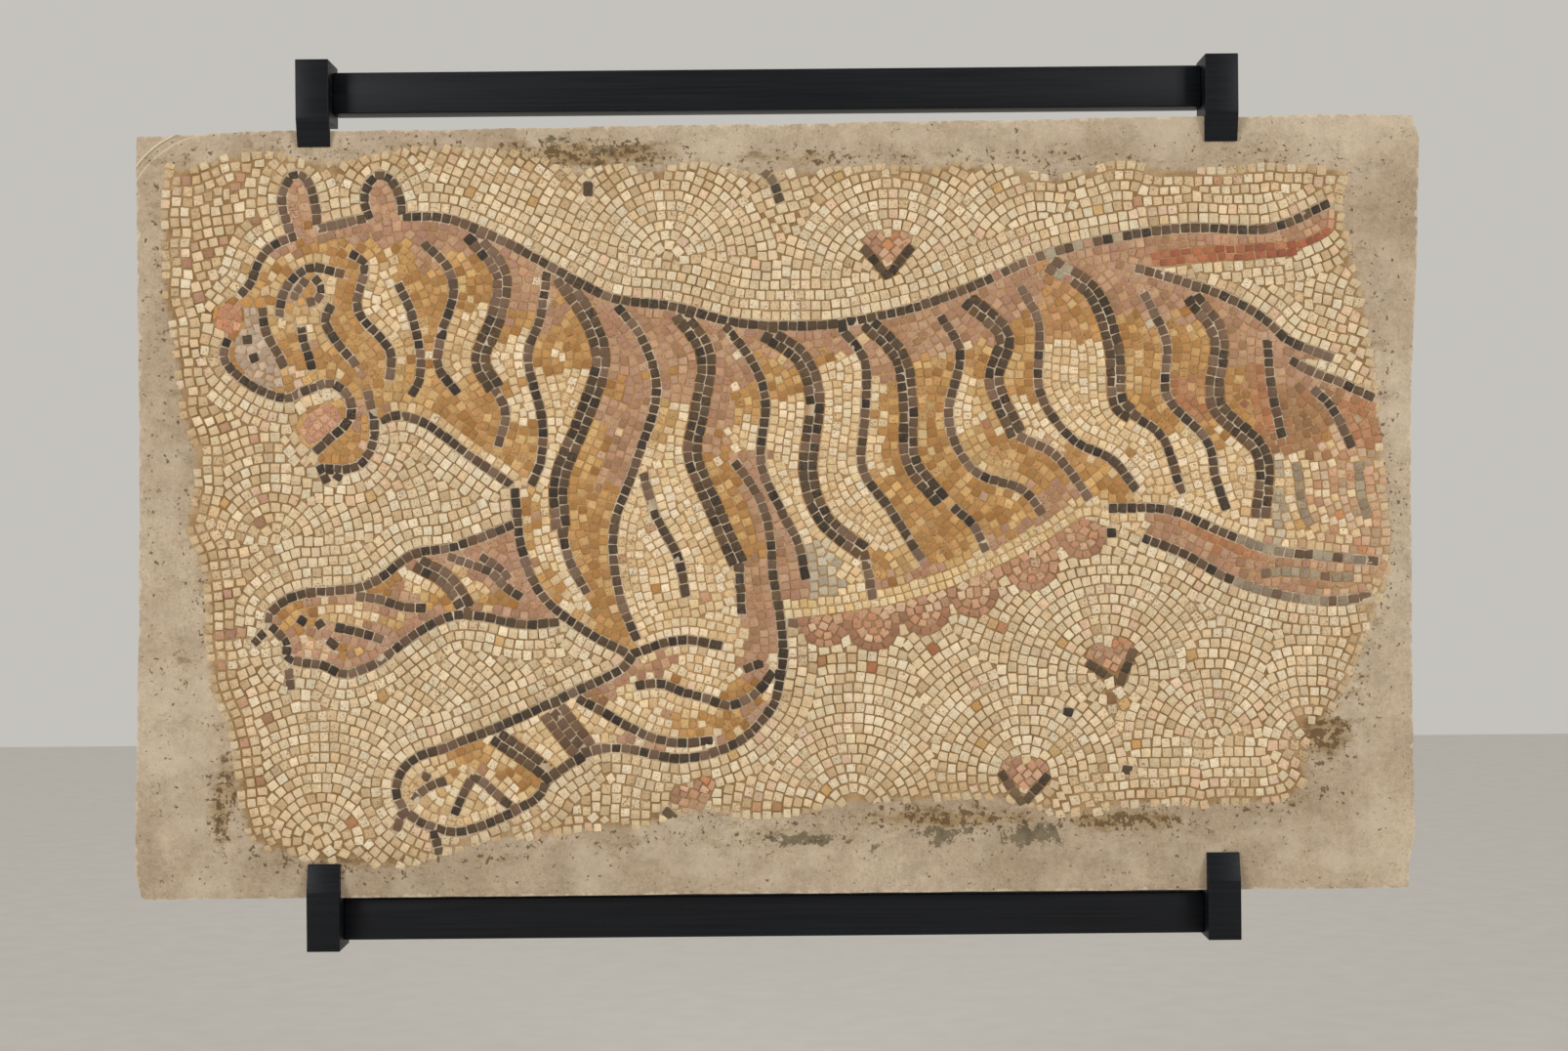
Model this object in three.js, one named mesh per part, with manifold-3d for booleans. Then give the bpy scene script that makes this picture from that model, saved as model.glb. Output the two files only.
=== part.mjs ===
// An old floor mosaic of a leaping striped cat, set in a mortar slab and held on a wall by two
// steel rails with a clip at each end.
// Millimetres. The wall is the plane y = 0 and the panel faces -Y. X runs along the rails, Z is up,
// and the origin is the middle of the upper rail's back.

import * as THREE from "three";
import { mergeVertices } from "three/addons/utils/BufferGeometryUtils.js";
import Module from "manifold-3d";

// Driving dimensions

const UPPER_LENGTH = 850;
const LOWER_LENGTH = 842;
const RAIL_HEIGHT = 40;
const RAIL_DEPTH = 28;
const RAIL_SPACING = 809; // from one rail's middle to the other's

const SLAB_BACK = 2; // the slab hangs this far off the wall
const SLAB_FRONT = 42;
const SLAB_X = 7; // middle of the picture, from the middle of the upper rail
const SLAB_Z = -410;

const CLIP_WIDTH = 32;
const CLIP_FRONT = 52; // how far the clip's flat face stands from the wall
const CLIP_FACE = 57; // height of that face
const LIP_RISE = 27; // height of the slanted lip beyond the face
const LIP_TIP = 1.5; // thickness of the lip where it ends on the panel
const CLIP_INSET = 8; // how far the face reaches past the rail towards the panel
const UPPER_LEDGE = 28; // the clip's inner side, from the rail's middle towards the panel
const LOWER_LEDGE = 22.7; // the panel stands on this one

const FIELD_DEPTH = 7; // tesserae of the ground
const CAT_DEPTH = 5.6;
const PATCH_DEPTH = 4.2;
const LINE_DEPTH = 2.8;
const JOINT = 1; // open mortar joint between two rows
const ROW = 10; // one row of tesserae
const GAP = 0.3; // clearance between pieces that touch

const LINE_STEP = 40; // longest straight stretch of a drawn line
const EDGE_STEP = 34; // the same on the outline of an area

// Colours and finishes

const finish = (color, roughness, metalness = 0) =>
  new THREE.MeshStandardMaterial({ color, roughness, metalness });
const MORTAR = finish("#b9a585", 0.95);
const CREAM_STONE = finish("#d6bf97", 0.8);
const OCHRE_STONE = finish("#b08250", 0.8);
const GREY_STONE = finish("#a5977f", 0.8);
const PINK_STONE = finish("#c0906f", 0.8);
const RED_STONE = finish("#8f5a43", 0.8);
const DARK_STONE = finish("#4b423b", 0.75);
const BLACK_PAINT = finish("#202428", 0.45, 0.3);

// The picture, in mm from its middle, X to the right and Z up

const slabEdge = [
  [-623, 360], [-616, 368], [-520, 371.5], [-300, 372], [-120, 373.5], [80, 375], [300, 377],
  [520, 379], [606, 378.5], [622, 372], [628, 356], [625, 250], [619, 120], [617, -20],
  [617, -200], [618, -326], [612, -353], [594, -369], [500, -375], [-560, -376], [-608, -376.5],
  [-624, -369], [-629, -350], [-627, -240], [-623, -100], [-622, 60], [-622, 200],
];

const fieldEdge = [
  [-593, 342], [-598, 224], [-584, 160], [-572, 5], [-563, -71], [-554, -166], [-531, -233],
  [-527, -290], [-508, -322], [-447, -343], [-342, -344], [-247, -323], [-152, -312], [-114, -301],
  [124, -296], [361, -296], [456, -292], [508, -272], [524, -223], [547, -195], [567, -138],
  [592, -92], [598, -40], [590, 80], [584, 156], [570, 223], [556, 290], [545, 329], [386, 330],
  [196, 335], [6, 332], [-184, 334], [-222, 348], [-336, 354], [-441, 351],
];

const noseTip = [[-537, 176], [-548, 185], [-548, 198], [-536, 207]];
const noseBridge = [[-522, 211], [-510, 226], [-503, 244], [-490, 259], [-466, 269]];
const farEar = [
  [-472, 272], [-480, 300], [-475, 321], [-465, 329], [-454, 320], [-448, 300], [-446, 278],
];
const crown = [[-446, 275], [-425, 280], [-398, 286]];
const nearEar = [
  [-395, 284], [-400, 304], [-394, 321], [-383, 327], [-371, 319], [-364, 300], [-363, 287],
];
const back = [
  [-363, 287], [-318, 284], [-265, 262], [-212, 233], [-160, 206], [-100, 197], [-40, 181], [20, 177],
  [75, 181], [145, 197], [205, 220], [262, 244], [330, 260], [400, 269], [480, 268], [540, 292],
];
const underTail = [[546, 282], [540, 262], [500, 245], [440, 238], [375, 230]];
const rump = [[350, 231], [390, 219], [440, 201], [475, 180], [500, 158], [542, 141]];
const rumpTuft = [[500, 140], [520, 129], [545, 119], [582, 102]];
const wornEnd = [[590, 60], [595, 0], [596, -50], [582, -90]];
const hindLegTop = [[322, -3], [380, -5], [430, -26], [480, -45], [530, -51], [585, -57]];
const hindLegBottom = [[355, -32], [395, -48], [440, -73], [490, -89], [535, -95], [578, -91]];
const belly = [
  [318, -12], [296, -12], [258, -36], [215, -58], [165, -80], [110, -95], [60, -103], [10, -108],
];
const legBack = [[-42, 46], [-18, 10], [-8, -25], [-5, -65], [2, -110], [4, -145], [0, -170]];
const elbow = [
  [0, -170], [-8, -195], [-42, -228], [-95, -243], [-150, -233], [-185, -236], [-225, -262],
  [-236, -279], [-262, -295],
];
const nearPaw = [
  [-262, -295], [-310, -312], [-345, -305], [-366, -290], [-374, -272], [-368, -253], [-352, -239],
  [-330, -232],
];
const foreleg = [[-330, -232], [-270, -209], [-210, -182], [-158, -158], [-142, -143]];
const chest = [[-142, -143], [-190, -117], [-230, -83], [-249, -40], [-254, 0], [-256, 22]];
const farLegTop = [
  [-257, -14], [-315, -35], [-355, -42], [-402, -72], [-465, -80], [-492, -95], [-497, -108],
];
const farPaw = [[-495, -110], [-480, -126], [-476, -143], [-445, -149], [-422, -158], [-390, -147]];
const farLegBottom = [
  [-390, -147], [-350, -117], [-320, -103], [-290, -103], [-250, -111], [-213, -109],
];
const neck = [[-258, 24], [-300, 54], [-340, 84], [-368, 93], [-386, 88]];
const jaw = [[-399, 118], [-392, 86], [-396, 60], [-412, 43], [-447, 42]];
const tongueEdge = [[-447, 58], [-464, 68], [-468, 84], [-457, 100], [-434, 108]];
const lip = [
  [-415, 93], [-416, 110], [-434, 125], [-462, 117], [-480, 111], [-512, 124], [-537, 148],
  [-534, 170],
];

const shoulder = [[-142, -141], [-110, -130], [-85, -128], [-55, -134]];
const wrist = [[-236, -202], [-197, -230]];
const wristBand = [[-278, -220], [-233, -250]];
const farWrist = [[-352, -50], [-322, -68], [-303, -97]];
const brow = [[-484, 190], [-480, 212], [-468, 229], [-450, 238], [-420, 231]];

// Stripes from the head to the tail: the line, and how many rows of tesserae wide it is.

const stripes = [
  { rows: 1, line: [[-432, 202], [-439, 186], [-428, 165], [-408, 142]] },
  { rows: 1, line: [[-414, 252], [-400, 238], [-407, 196], [-377, 158], [-377, 128]] },
  { rows: 1, line: [[-368, 222], [-356, 195], [-347, 155], [-348, 128], [-356, 112]] },
  { rows: 1, line: [[-343, 261], [-320, 238], [-314, 210], [-326, 172], [-329, 140], [-310, 114]] },
  { rows: 2, line: [[-298, 270], [-268, 232], [-272, 190], [-288, 148], [-274, 118]] },
  { rows: 1, line: [[-274, 118], [-264, 94], [-272, 62]] },
  { rows: 1, line: [[-222, 232], [-230, 186], [-242, 148], [-229, 90], [-230, 50], [-240, 24]] },
  { rows: 2, line: [[-210, 228], [-182, 185], [-171, 142], [-190, 85], [-212, 30], [-211, -20]] },
  { rows: 1, line: [[-211, -20], [-202, -52], [-186, -82]] },
  { rows: 1, line: [[-155, 198], [-130, 165], [-117, 112], [-138, 44], [-160, -20], [-138, -128]] },
  { rows: 1, line: [[-131, 36], [-119, -6], [-98, -46], [-90, -86]] },
  { rows: 2, line: [[-95, 191], [-69, 150], [-76, 92], [-82, 52], [-62, 0], [-38, -55]] },
  { rows: 1, line: [[-38, -55], [-36, -103]] },
  { rows: 1, line: [[-50, 178], [-22, 140], [-11, 102], [-16, 45], [2, 0], [20, -35], [27, -70]] },
  { rows: 2, line: [[-12, 171], [24, 146], [37, 104], [30, 35], [46, -12], [84, -44]] },
  { rows: 1, line: [[84, -44], [92, -90]] },
  { rows: 1, line: [[62, 176], [86, 142], [86, 92], [83, 38], [112, -6], [140, -52]] },
  { rows: 2, line: [[88, 181], [120, 146], [128, 100], [130, 46], [160, 5]] },
  { rows: 1, line: [[170, 0], [190, -18], [203, -44]] },
  { rows: 1, line: [[160, 186], [179, 148], [167, 86], [190, 36], [238, 16], [258, -8]] },
  { rows: 2, line: [[186, 202], [222, 166], [212, 122], [234, 68]] },
  { rows: 1, line: [[234, 68], [272, 48], [304, 6]] },
  { rows: 1, line: [[238, 214], [256, 176], [256, 112], [286, 66], [326, 44], [350, 14]] },
  { rows: 2, line: [[266, 236], [308, 208], [328, 156], [332, 102], [346, 88]] },
  { rows: 1, line: [[346, 88], [376, 64], [394, 10]] },
  { rows: 1, line: [[358, 207], [380, 158], [380, 106], [418, 62], [427, 24], [437, -6]] },
  { rows: 2, line: [[404, 204], [431, 162], [428, 98], [472, 48], [470, -14]] },
  { rows: 1, line: [[478, 160], [482, 112], [492, 64]] },
  { rows: 1, line: [[522, 112], [541, 92], [560, 54]] },
];

const fringeLobes = [
  { x: 45, z: -112, size: 24 },
  { x: 92, z: -114, size: 26 },
  { x: 142, z: -100, size: 25 },
  { x: 190, z: -84, size: 24 },
  { x: 246, z: -56, size: 27 },
  { x: 296, z: -28, size: 24 },
];

const rosebuds = [
  { x: 109, z: 250, turn: 0, cup: true },
  { x: 324, z: -150, turn: 16, cup: true },
  { x: 238, z: -264, turn: -4, cup: true },
  { x: -82, z: -283, turn: 20, cup: false },
];
const BUD_WIDTH = 48;

// Outlines and solids

const manifold = await Module();
manifold.setup();

const vectors = (points) => points.map(([x, z]) => new THREE.Vector2(x, z));

const curveThrough = (points) => new THREE.SplineCurve(vectors(points));

// A curve has at least one straight stretch for each point it is drawn through.
const stretches = (curve, step) =>
  Math.max(curve.points.length - 1, Math.round(curve.getLength() / step));

const sampled = (points, step) => {
  const curve = curveThrough(points);
  return curve.getSpacedPoints(stretches(curve, step));
};

// A line of tesserae: both sides of a curve, half the width away from it.
const stripOutline = (points, width, overrun) => {
  const curve = curveThrough(points);
  const count = stretches(curve, LINE_STEP);
  const left = [];
  const right = [];
  for (let i = 0; i <= count; i++) {
    const along = curve.getTangentAt(i / count);
    const side = new THREE.Vector2(-along.y, along.x).multiplyScalar(width / 2);
    const reach = i === 0 ? -overrun : i === count ? overrun : 0;
    const middle = curve.getPointAt(i / count).addScaledVector(along, reach);
    left.push(middle.clone().add(side));
    right.unshift(middle.sub(side));
  }
  return [...left, ...right];
};

// Moves each side of an outline outwards by a distance, further at a sharp corner.
const SHARPEST = 0.35;
const grown = (outline, distance) => {
  const outward = THREE.ShapeUtils.isClockWise(outline) ? 1 : -1;
  const normalOf = (from, to) => new THREE.Vector2(from.y - to.y, to.x - from.x).normalize();
  return outline.map((corner, i) => {
    const before = outline[(i + outline.length - 1) % outline.length];
    const after = outline[(i + 1) % outline.length];
    const arriving = normalOf(before, corner);
    const between = arriving.clone().add(normalOf(corner, after)).normalize();
    const reach = (outward * distance) / Math.max(between.dot(arriving), SHARPEST);
    return corner.clone().addScaledVector(between, reach);
  });
};

const SAME_POINT = 1e-4;
const toSolid = (geometry) => {
  geometry.deleteAttribute("normal");
  geometry.deleteAttribute("uv");
  const merged = mergeVertices(geometry, SAME_POINT);
  return new manifold.Manifold(
    new manifold.Mesh({
      numProp: 3,
      vertProperties: new Float32Array(merged.attributes.position.array),
      triVerts: new Uint32Array(merged.index.array),
    }),
  );
};

// A plate of an outline in the picture, from its depth below the panel's face up to that face.
const plate = (outline, depth) => {
  const geometry = new THREE.ExtrudeGeometry(new THREE.Shape(outline), {
    depth,
    bevelEnabled: false,
  });
  geometry.rotateX(Math.PI / 2);
  geometry.translate(SLAB_X, depth - SLAB_FRONT, SLAB_Z);
  return toSolid(geometry);
};

const joined = (solids) => solids.reduce((whole, next) => whole.add(next));

// Areas of the picture

const catOutline = [
  noseTip, noseBridge, farEar, crown, nearEar, back, underTail, rump, rumpTuft, wornEnd,
  [...hindLegBottom].reverse(), belly, legBack.slice(4), elbow, nearPaw, foreleg, chest.slice(0, 3),
  [...farLegBottom].reverse(), [...farPaw].reverse(), [...farLegTop].reverse(), neck,
  jaw.slice(2), tongueEdge, lip.slice(1),
]
  .flatMap((line) => sampled(line, EDGE_STEP))
  .filter((corner, i, all) => corner.distanceTo(all[(i + 1) % all.length]) > ROW / 2);

const RED_WIDTH = 14;
const tailRed = stripOutline([[368, 238], [410, 243], [460, 245], [505, 249]], RED_WIDTH, 0);
const tongue = vectors([
  [-432, 106], [-424, 96], [-424, 86], [-440, 70], [-458, 66], [-465, 80], [-455, 98],
]);
const nose = vectors([
  [-521, 203], [-520, 180], [-530, 173], [-545, 180], [-546, 197], [-534, 204],
]);
const muzzle = vectors([
  [-517, 178], [-504, 164], [-487, 142], [-480, 122], [-497, 122], [-515, 134], [-528, 152],
  [-526, 172],
]);

// Scalloped fringe of the belly: a row of half discs hanging from one band.
const LOBE_SIDES = 7;
const LOBE_TILT = 0.35; // the lobes lean with the rising belly
const FRINGE_DROP = 4; // the band starts this far under the belly line
const fringeOutline = (() => {
  const upper = belly.slice(1).map(([x, z]) => new THREE.Vector2(x, z - FRINGE_DROP));
  const lobes = fringeLobes.flatMap(({ x, z, size }) => {
    const arc = [];
    for (let i = 0; i <= LOBE_SIDES; i++) {
      const angle = Math.PI * (1 + i / LOBE_SIDES) + LOBE_TILT;
      arc.push(new THREE.Vector2(x + size * Math.cos(angle), z + size * Math.sin(angle)));
    }
    return arc;
  });
  return [...upper, ...lobes];
})();

// A rosebud: two round petals over a pointed cup.
const PETAL_SIDES = 5;
const PETAL = BUD_WIDTH / 4; // radius of one petal
const PETAL_LIFT = 7; // its middle, above the bud's
const PETAL_POINT = 14; // the petals' lower point, below the bud's middle
const CUP_DROP = 26; // the cup's point, below the bud's middle
const CUP_ARM = 2; // the outer and the inner end of its two arms, above the bud's middle
const CUP_TIP = 8;

const turned = (outline, { x, z, turn }) => {
  const middle = new THREE.Vector2(x, z);
  const angle = THREE.MathUtils.degToRad(turn);
  return outline.map((corner) => corner.rotateAround(new THREE.Vector2(), angle).add(middle));
};

const petals = (bud) => {
  const outline = [new THREE.Vector2(0, -PETAL_POINT)];
  for (const middle of [PETAL, -PETAL]) {
    for (let i = 0; i <= PETAL_SIDES; i++) {
      const angle = Math.PI * (i / PETAL_SIDES);
      const x = middle + (PETAL - GAP) * Math.cos(angle);
      outline.push(new THREE.Vector2(x, PETAL_LIFT + PETAL * Math.sin(angle)));
    }
  }
  return turned(outline, bud);
};

const cupOutline = (bud) => {
  const reach = BUD_WIDTH / 2;
  const outline = vectors([
    [-reach, CUP_ARM], [0, -CUP_DROP - ROW / 2], [reach, CUP_ARM], [reach - ROW, CUP_TIP],
    [0, ROW - CUP_DROP], [ROW - reach, CUP_TIP],
  ]);
  return turned(outline, bud);
};

// Dark lines of tesserae

const outlines = [
  noseBridge, farEar, crown, nearEar, back, rump, rumpTuft, hindLegTop, hindLegBottom, legBack,
  elbow, nearPaw, foreleg, chest, farLegTop, farPaw, farLegBottom, neck, jaw, lip, shoulder,
  farWrist, brow,
].map((line) => ({ rows: 1, line }));
const bands = [wrist, wristBand].map((line) => ({ rows: 2, line }));
const darkLines = [...outlines, ...bands, ...stripes];

const lineSolid = ({ rows, line }, clearance) =>
  plate(
    stripOutline(line, rows * ROW - JOINT + clearance * 2, clearance),
    LINE_DEPTH + clearance,
  );
const cups = rosebuds.filter(({ cup }) => cup);
const lineCutter = joined([
  ...darkLines.map((dark) => lineSolid(dark, GAP)),
  ...cups.map((bud) => plate(grown(cupOutline(bud), GAP), LINE_DEPTH + GAP)),
]);

// Patches of colour, each let into the area around it

const patches = [
  { name: "tail_red_tesserae", outline: tailRed, material: RED_STONE },
  { name: "tongue_tesserae", outline: tongue, material: PINK_STONE },
  { name: "nose_tesserae", outline: nose, material: PINK_STONE },
  { name: "muzzle_tesserae", outline: muzzle, material: GREY_STONE },
  { name: "belly_fringe_tesserae", outline: fringeOutline, material: PINK_STONE },
  ...rosebuds.map((bud, i) => ({
    name: `rosebud_${i + 1}_petals`,
    outline: petals(bud),
    material: PINK_STONE,
  })),
];
const patchCutter = joined(
  patches.map(({ outline }) => plate(grown(outline, GAP), PATCH_DEPTH + GAP)),
);

// The assembly

const panel = new THREE.Group();

const addPiece = (name, solid, material) => {
  const made = solid.getMesh();
  const geometry = new THREE.BufferGeometry();
  geometry.setAttribute("position", new THREE.BufferAttribute(made.vertProperties, 3));
  geometry.setIndex(new THREE.BufferAttribute(made.triVerts, 1));
  geometry.computeVertexNormals();
  const mesh = new THREE.Mesh(geometry, material);
  mesh.name = name;
  panel.add(mesh);
};

const field = sampled([...fieldEdge, fieldEdge[0]], EDGE_STEP * 2).slice(0, -1);
const slab = plate(vectors(slabEdge), SLAB_FRONT - SLAB_BACK).subtract(
  plate(grown(field, GAP), FIELD_DEPTH + GAP),
);
addPiece("mortar_slab", slab, MORTAR);

const catCutter = plate(grown(catOutline, GAP), CAT_DEPTH + GAP);
const ground = plate(field, FIELD_DEPTH).subtract(catCutter).subtract(patchCutter).subtract(lineCutter);
addPiece("ground_tesserae", ground, CREAM_STONE);

const cat = plate(catOutline, CAT_DEPTH).subtract(patchCutter).subtract(lineCutter);
addPiece("cat_tesserae", cat, OCHRE_STONE);

for (const { name, outline, material } of patches) {
  addPiece(name, plate(outline, PATCH_DEPTH).subtract(lineCutter), material);
}

joined(darkLines.map((dark) => lineSolid(dark, 0)))
  .decompose()
  .sort((a, b) => b.volume() - a.volume())
  .forEach((solid, i) => addPiece(`dark_line_${i + 1}_tesserae`, solid, DARK_STONE));
cups.forEach((bud, i) => {
  addPiece(`rosebud_${i + 1}_cup`, plate(cupOutline(bud), LINE_DEPTH), DARK_STONE);
});

// The mount

const rail = (name, length, z) => {
  const mesh = new THREE.Mesh(new THREE.BoxGeometry(length, RAIL_DEPTH, RAIL_HEIGHT), BLACK_PAINT);
  mesh.position.set(0, -RAIL_DEPTH / 2, z);
  mesh.name = name;
  panel.add(mesh);
};
rail("upper_rail", UPPER_LENGTH, 0);
rail("lower_rail", LOWER_LENGTH, -RAIL_SPACING);

// A clip is a block on the wall at the rail's end. Its slanted lip ends on the panel's face.
// In the section, out is the distance from the wall and away is the distance from the rail's
// middle, away from the panel. A clip sits a little closer to the panel by its shift.
const clip = (name, { side, z, panelSide, length, ledge, shift }) => {
  const outer = CLIP_FACE - RAIL_HEIGHT / 2 - CLIP_INSET - shift;
  const bend = outer - CLIP_FACE;
  const tip = bend - LIP_RISE;
  const section = [
    [0, outer], [CLIP_FRONT, outer], [CLIP_FRONT, bend], [SLAB_FRONT + GAP + LIP_TIP, tip],
    [SLAB_FRONT + GAP, tip], [SLAB_FRONT + GAP, -ledge], [0, -ledge],
  ];
  const outline = section.map(([out, away]) => new THREE.Vector2(-out, -away * panelSide));
  const geometry = new THREE.ExtrudeGeometry(new THREE.Shape(outline), {
    depth: CLIP_WIDTH,
    bevelEnabled: false,
  });
  geometry.translate(0, 0, -CLIP_WIDTH / 2);
  geometry.rotateX(Math.PI / 2);
  geometry.rotateZ(Math.PI / 2);
  const mesh = new THREE.Mesh(geometry, BLACK_PAINT);
  mesh.name = name;
  mesh.position.set(side * (length / 2 + GAP + CLIP_WIDTH / 2), 0, z);
  panel.add(mesh);
};
const upperEnd = { z: 0, panelSide: -1, length: UPPER_LENGTH, ledge: UPPER_LEDGE };
const lowerEnd = { z: -RAIL_SPACING, panelSide: 1, length: LOWER_LENGTH, ledge: LOWER_LEDGE };
clip("upper_left_clip", { ...upperEnd, side: -1, shift: 0 });
clip("upper_right_clip", { ...upperEnd, side: 1, shift: 2 });
clip("lower_left_clip", { ...lowerEnd, side: -1, shift: 1.5 });
clip("lower_right_clip", { ...lowerEnd, side: 1, shift: 5.5 });

export default panel;
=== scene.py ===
"""Dresses the mosaic panel: some eight thousand hand-cut stones in a cast mortar slab, held by a
black steel mount. Row frame, metres; the picture itself is drawn in millimetres from its middle."""

import math

import bmesh
import bpy
import numpy as np
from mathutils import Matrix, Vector


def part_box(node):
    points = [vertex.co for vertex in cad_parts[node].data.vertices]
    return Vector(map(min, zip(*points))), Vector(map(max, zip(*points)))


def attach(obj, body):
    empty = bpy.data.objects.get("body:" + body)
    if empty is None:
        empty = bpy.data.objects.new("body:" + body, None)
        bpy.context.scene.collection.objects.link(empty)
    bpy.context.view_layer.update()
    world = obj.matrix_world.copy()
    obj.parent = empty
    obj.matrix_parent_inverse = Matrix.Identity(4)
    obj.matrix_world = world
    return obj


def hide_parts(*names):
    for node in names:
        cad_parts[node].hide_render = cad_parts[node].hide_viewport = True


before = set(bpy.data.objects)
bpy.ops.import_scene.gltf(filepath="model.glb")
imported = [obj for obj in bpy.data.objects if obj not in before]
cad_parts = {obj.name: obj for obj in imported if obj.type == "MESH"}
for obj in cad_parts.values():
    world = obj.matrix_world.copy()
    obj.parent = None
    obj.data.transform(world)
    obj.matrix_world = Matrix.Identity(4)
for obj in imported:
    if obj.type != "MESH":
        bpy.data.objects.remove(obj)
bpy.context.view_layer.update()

MM = 0.001
PICTURE_X = 7.0  # middle of the picture in the row frame, in millimetres
PICTURE_Z = -410.0
PANEL_FACE = 42.0  # the panel's face stands this far off the wall
CLEARANCE = 0.3  # between pieces that touch

# ---------------------------------------------------------------- the drawing

# Outlines of the cat, one row of dark stones wide.
NOSE_TIP = [(-537, 176), (-548, 185), (-548, 198), (-536, 207)]
NOSE_BRIDGE = [(-522, 211), (-510, 226), (-503, 244), (-490, 259), (-466, 269)]
FAR_EAR = [(-472, 272), (-480, 300), (-475, 321), (-465, 329), (-454, 320), (-448, 300), (-446, 278)]
CROWN = [(-446, 275), (-425, 280), (-398, 286)]
NEAR_EAR = [(-395, 284), (-400, 304), (-394, 321), (-383, 327), (-371, 319), (-364, 300), (-363, 287)]
BACK = [
    (-363, 287), (-318, 284), (-265, 262), (-212, 233), (-160, 206), (-100, 197), (-40, 181),
    (20, 177), (75, 181), (145, 197), (205, 220), (262, 244), (330, 260), (400, 269), (480, 268),
    (540, 292),
]
UNDER_TAIL = [(546, 282), (540, 262), (500, 245), (440, 238), (375, 230)]
RUMP = [(350, 231), (390, 219), (440, 201), (475, 180), (500, 158), (542, 141)]
RUMP_TUFT = [(500, 140), (520, 129), (545, 119), (582, 102)]
WORN_END = [(590, 60), (595, 0), (596, -50), (582, -90)]
HIND_TOP = [(322, -3), (380, -5), (430, -26), (480, -45), (530, -51), (585, -57)]
HIND_BOTTOM = [(355, -32), (395, -48), (440, -73), (490, -89), (535, -95), (578, -91)]
BELLY = [(318, -12), (296, -12), (258, -36), (215, -58), (165, -80), (110, -95), (60, -103), (10, -108)]
LEG_BACK = [(-42, 46), (-18, 10), (-8, -25), (-5, -65), (2, -110), (4, -145), (0, -170)]
ELBOW = [
    (0, -170), (-8, -195), (-42, -228), (-95, -243), (-150, -233), (-185, -236), (-225, -262),
    (-236, -279), (-262, -295),
]
NEAR_PAW = [
    (-262, -295), (-310, -312), (-345, -305), (-366, -290), (-374, -272), (-368, -253),
    (-352, -239), (-330, -232),
]
FORELEG = [(-330, -232), (-270, -209), (-210, -182), (-158, -158), (-142, -143)]
CHEST = [(-142, -143), (-190, -117), (-230, -83), (-249, -40), (-254, 0), (-256, 22)]
FAR_TOP = [(-257, -14), (-315, -35), (-355, -42), (-402, -72), (-465, -80), (-492, -95), (-497, -108)]
FAR_PAW = [(-495, -110), (-480, -126), (-476, -143), (-445, -149), (-422, -158), (-390, -147)]
FAR_BOTTOM = [(-390, -147), (-350, -117), (-320, -103), (-290, -103), (-250, -111), (-213, -109)]
NECK = [(-258, 24), (-300, 54), (-340, 84), (-368, 93), (-386, 88)]
JAW = [(-399, 118), (-392, 86), (-396, 60), (-412, 43), (-447, 42)]
TONGUE_EDGE = [(-447, 58), (-464, 68), (-468, 84), (-457, 100), (-434, 108)]
LIP = [
    (-415, 93), (-416, 110), (-434, 125), (-462, 117), (-480, 111), (-512, 124), (-537, 148),
    (-534, 170),
]

# Every drawn line is rows of stones wide, has a shade, and passes through its points. The stripes
# that part the coat's bands of colour come first, from the head to the tail.
DARK, BROWN, FADED = "dark", "brown", "faded"
STRIPES = [
    [(1, DARK, [(-414, 252), (-400, 238), (-407, 196), (-377, 158), (-377, 128)])],
    [(1, DARK, [(-368, 222), (-356, 195), (-347, 155), (-348, 128), (-356, 112)])],
    [(1, DARK, [(-343, 261), (-320, 238), (-314, 210), (-326, 172), (-329, 140), (-310, 114)])],
    [(2, DARK, [(-298, 270), (-268, 232), (-272, 190), (-288, 148), (-274, 118)]),
     (1, BROWN, [(-274, 118), (-264, 94), (-272, 62)])],
    [(1, DARK, [(-222, 232), (-230, 186), (-242, 148), (-229, 90), (-230, 50), (-240, 24)])],
    [(2, DARK, [(-210, 228), (-182, 185), (-171, 142), (-190, 85), (-212, 30), (-211, -20)]),
     (1, DARK, [(-211, -20), (-202, -52), (-186, -82)])],
    [(1, DARK, [(-155, 198), (-130, 165), (-117, 112), (-138, 44), (-160, -20), (-155, -82),
                (-138, -128)])],
    [(2, DARK, [(-95, 191), (-69, 150), (-76, 92), (-82, 52), (-62, 0), (-38, -55)]),
     (1, DARK, [(-38, -55), (-36, -103)])],
    [(1, DARK, [(-50, 178), (-22, 140), (-11, 102), (-16, 45), (2, 0), (20, -35), (27, -70)])],
    [(2, DARK, [(-12, 171), (24, 146), (37, 104), (30, 35), (46, -12), (84, -44)]),
     (1, BROWN, [(84, -44), (92, -90)])],
    [(1, DARK, [(62, 176), (86, 142), (86, 92), (83, 38), (112, -6), (140, -52)])],
    [(2, DARK, [(88, 181), (120, 146), (128, 100), (130, 46), (160, 5)]),
     (1, DARK, [(170, 0), (190, -18), (203, -44)])],
    [(1, DARK, [(160, 186), (179, 148), (167, 86), (190, 36), (238, 16), (258, -8)])],
    [(2, DARK, [(186, 202), (222, 166), (212, 122), (234, 68)]),
     (1, BROWN, [(234, 68), (272, 48), (304, 6)])],
    [(1, DARK, [(238, 214), (256, 176), (256, 112), (286, 66), (326, 44), (350, 14)])],
    [(2, DARK, [(266, 236), (308, 208), (328, 156), (332, 102), (346, 88)]),
     (1, DARK, [(346, 88), (376, 64), (394, 10)])],
    [(1, DARK, [(358, 207), (380, 158), (380, 106), (418, 62), (427, 24), (437, -6)])],
    [(2, DARK, [(404, 204), (431, 162), (428, 98), (472, 48), (470, -14)])],
    [(1, DARK, [(478, 160), (482, 112), (492, 64)])],
]


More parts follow.
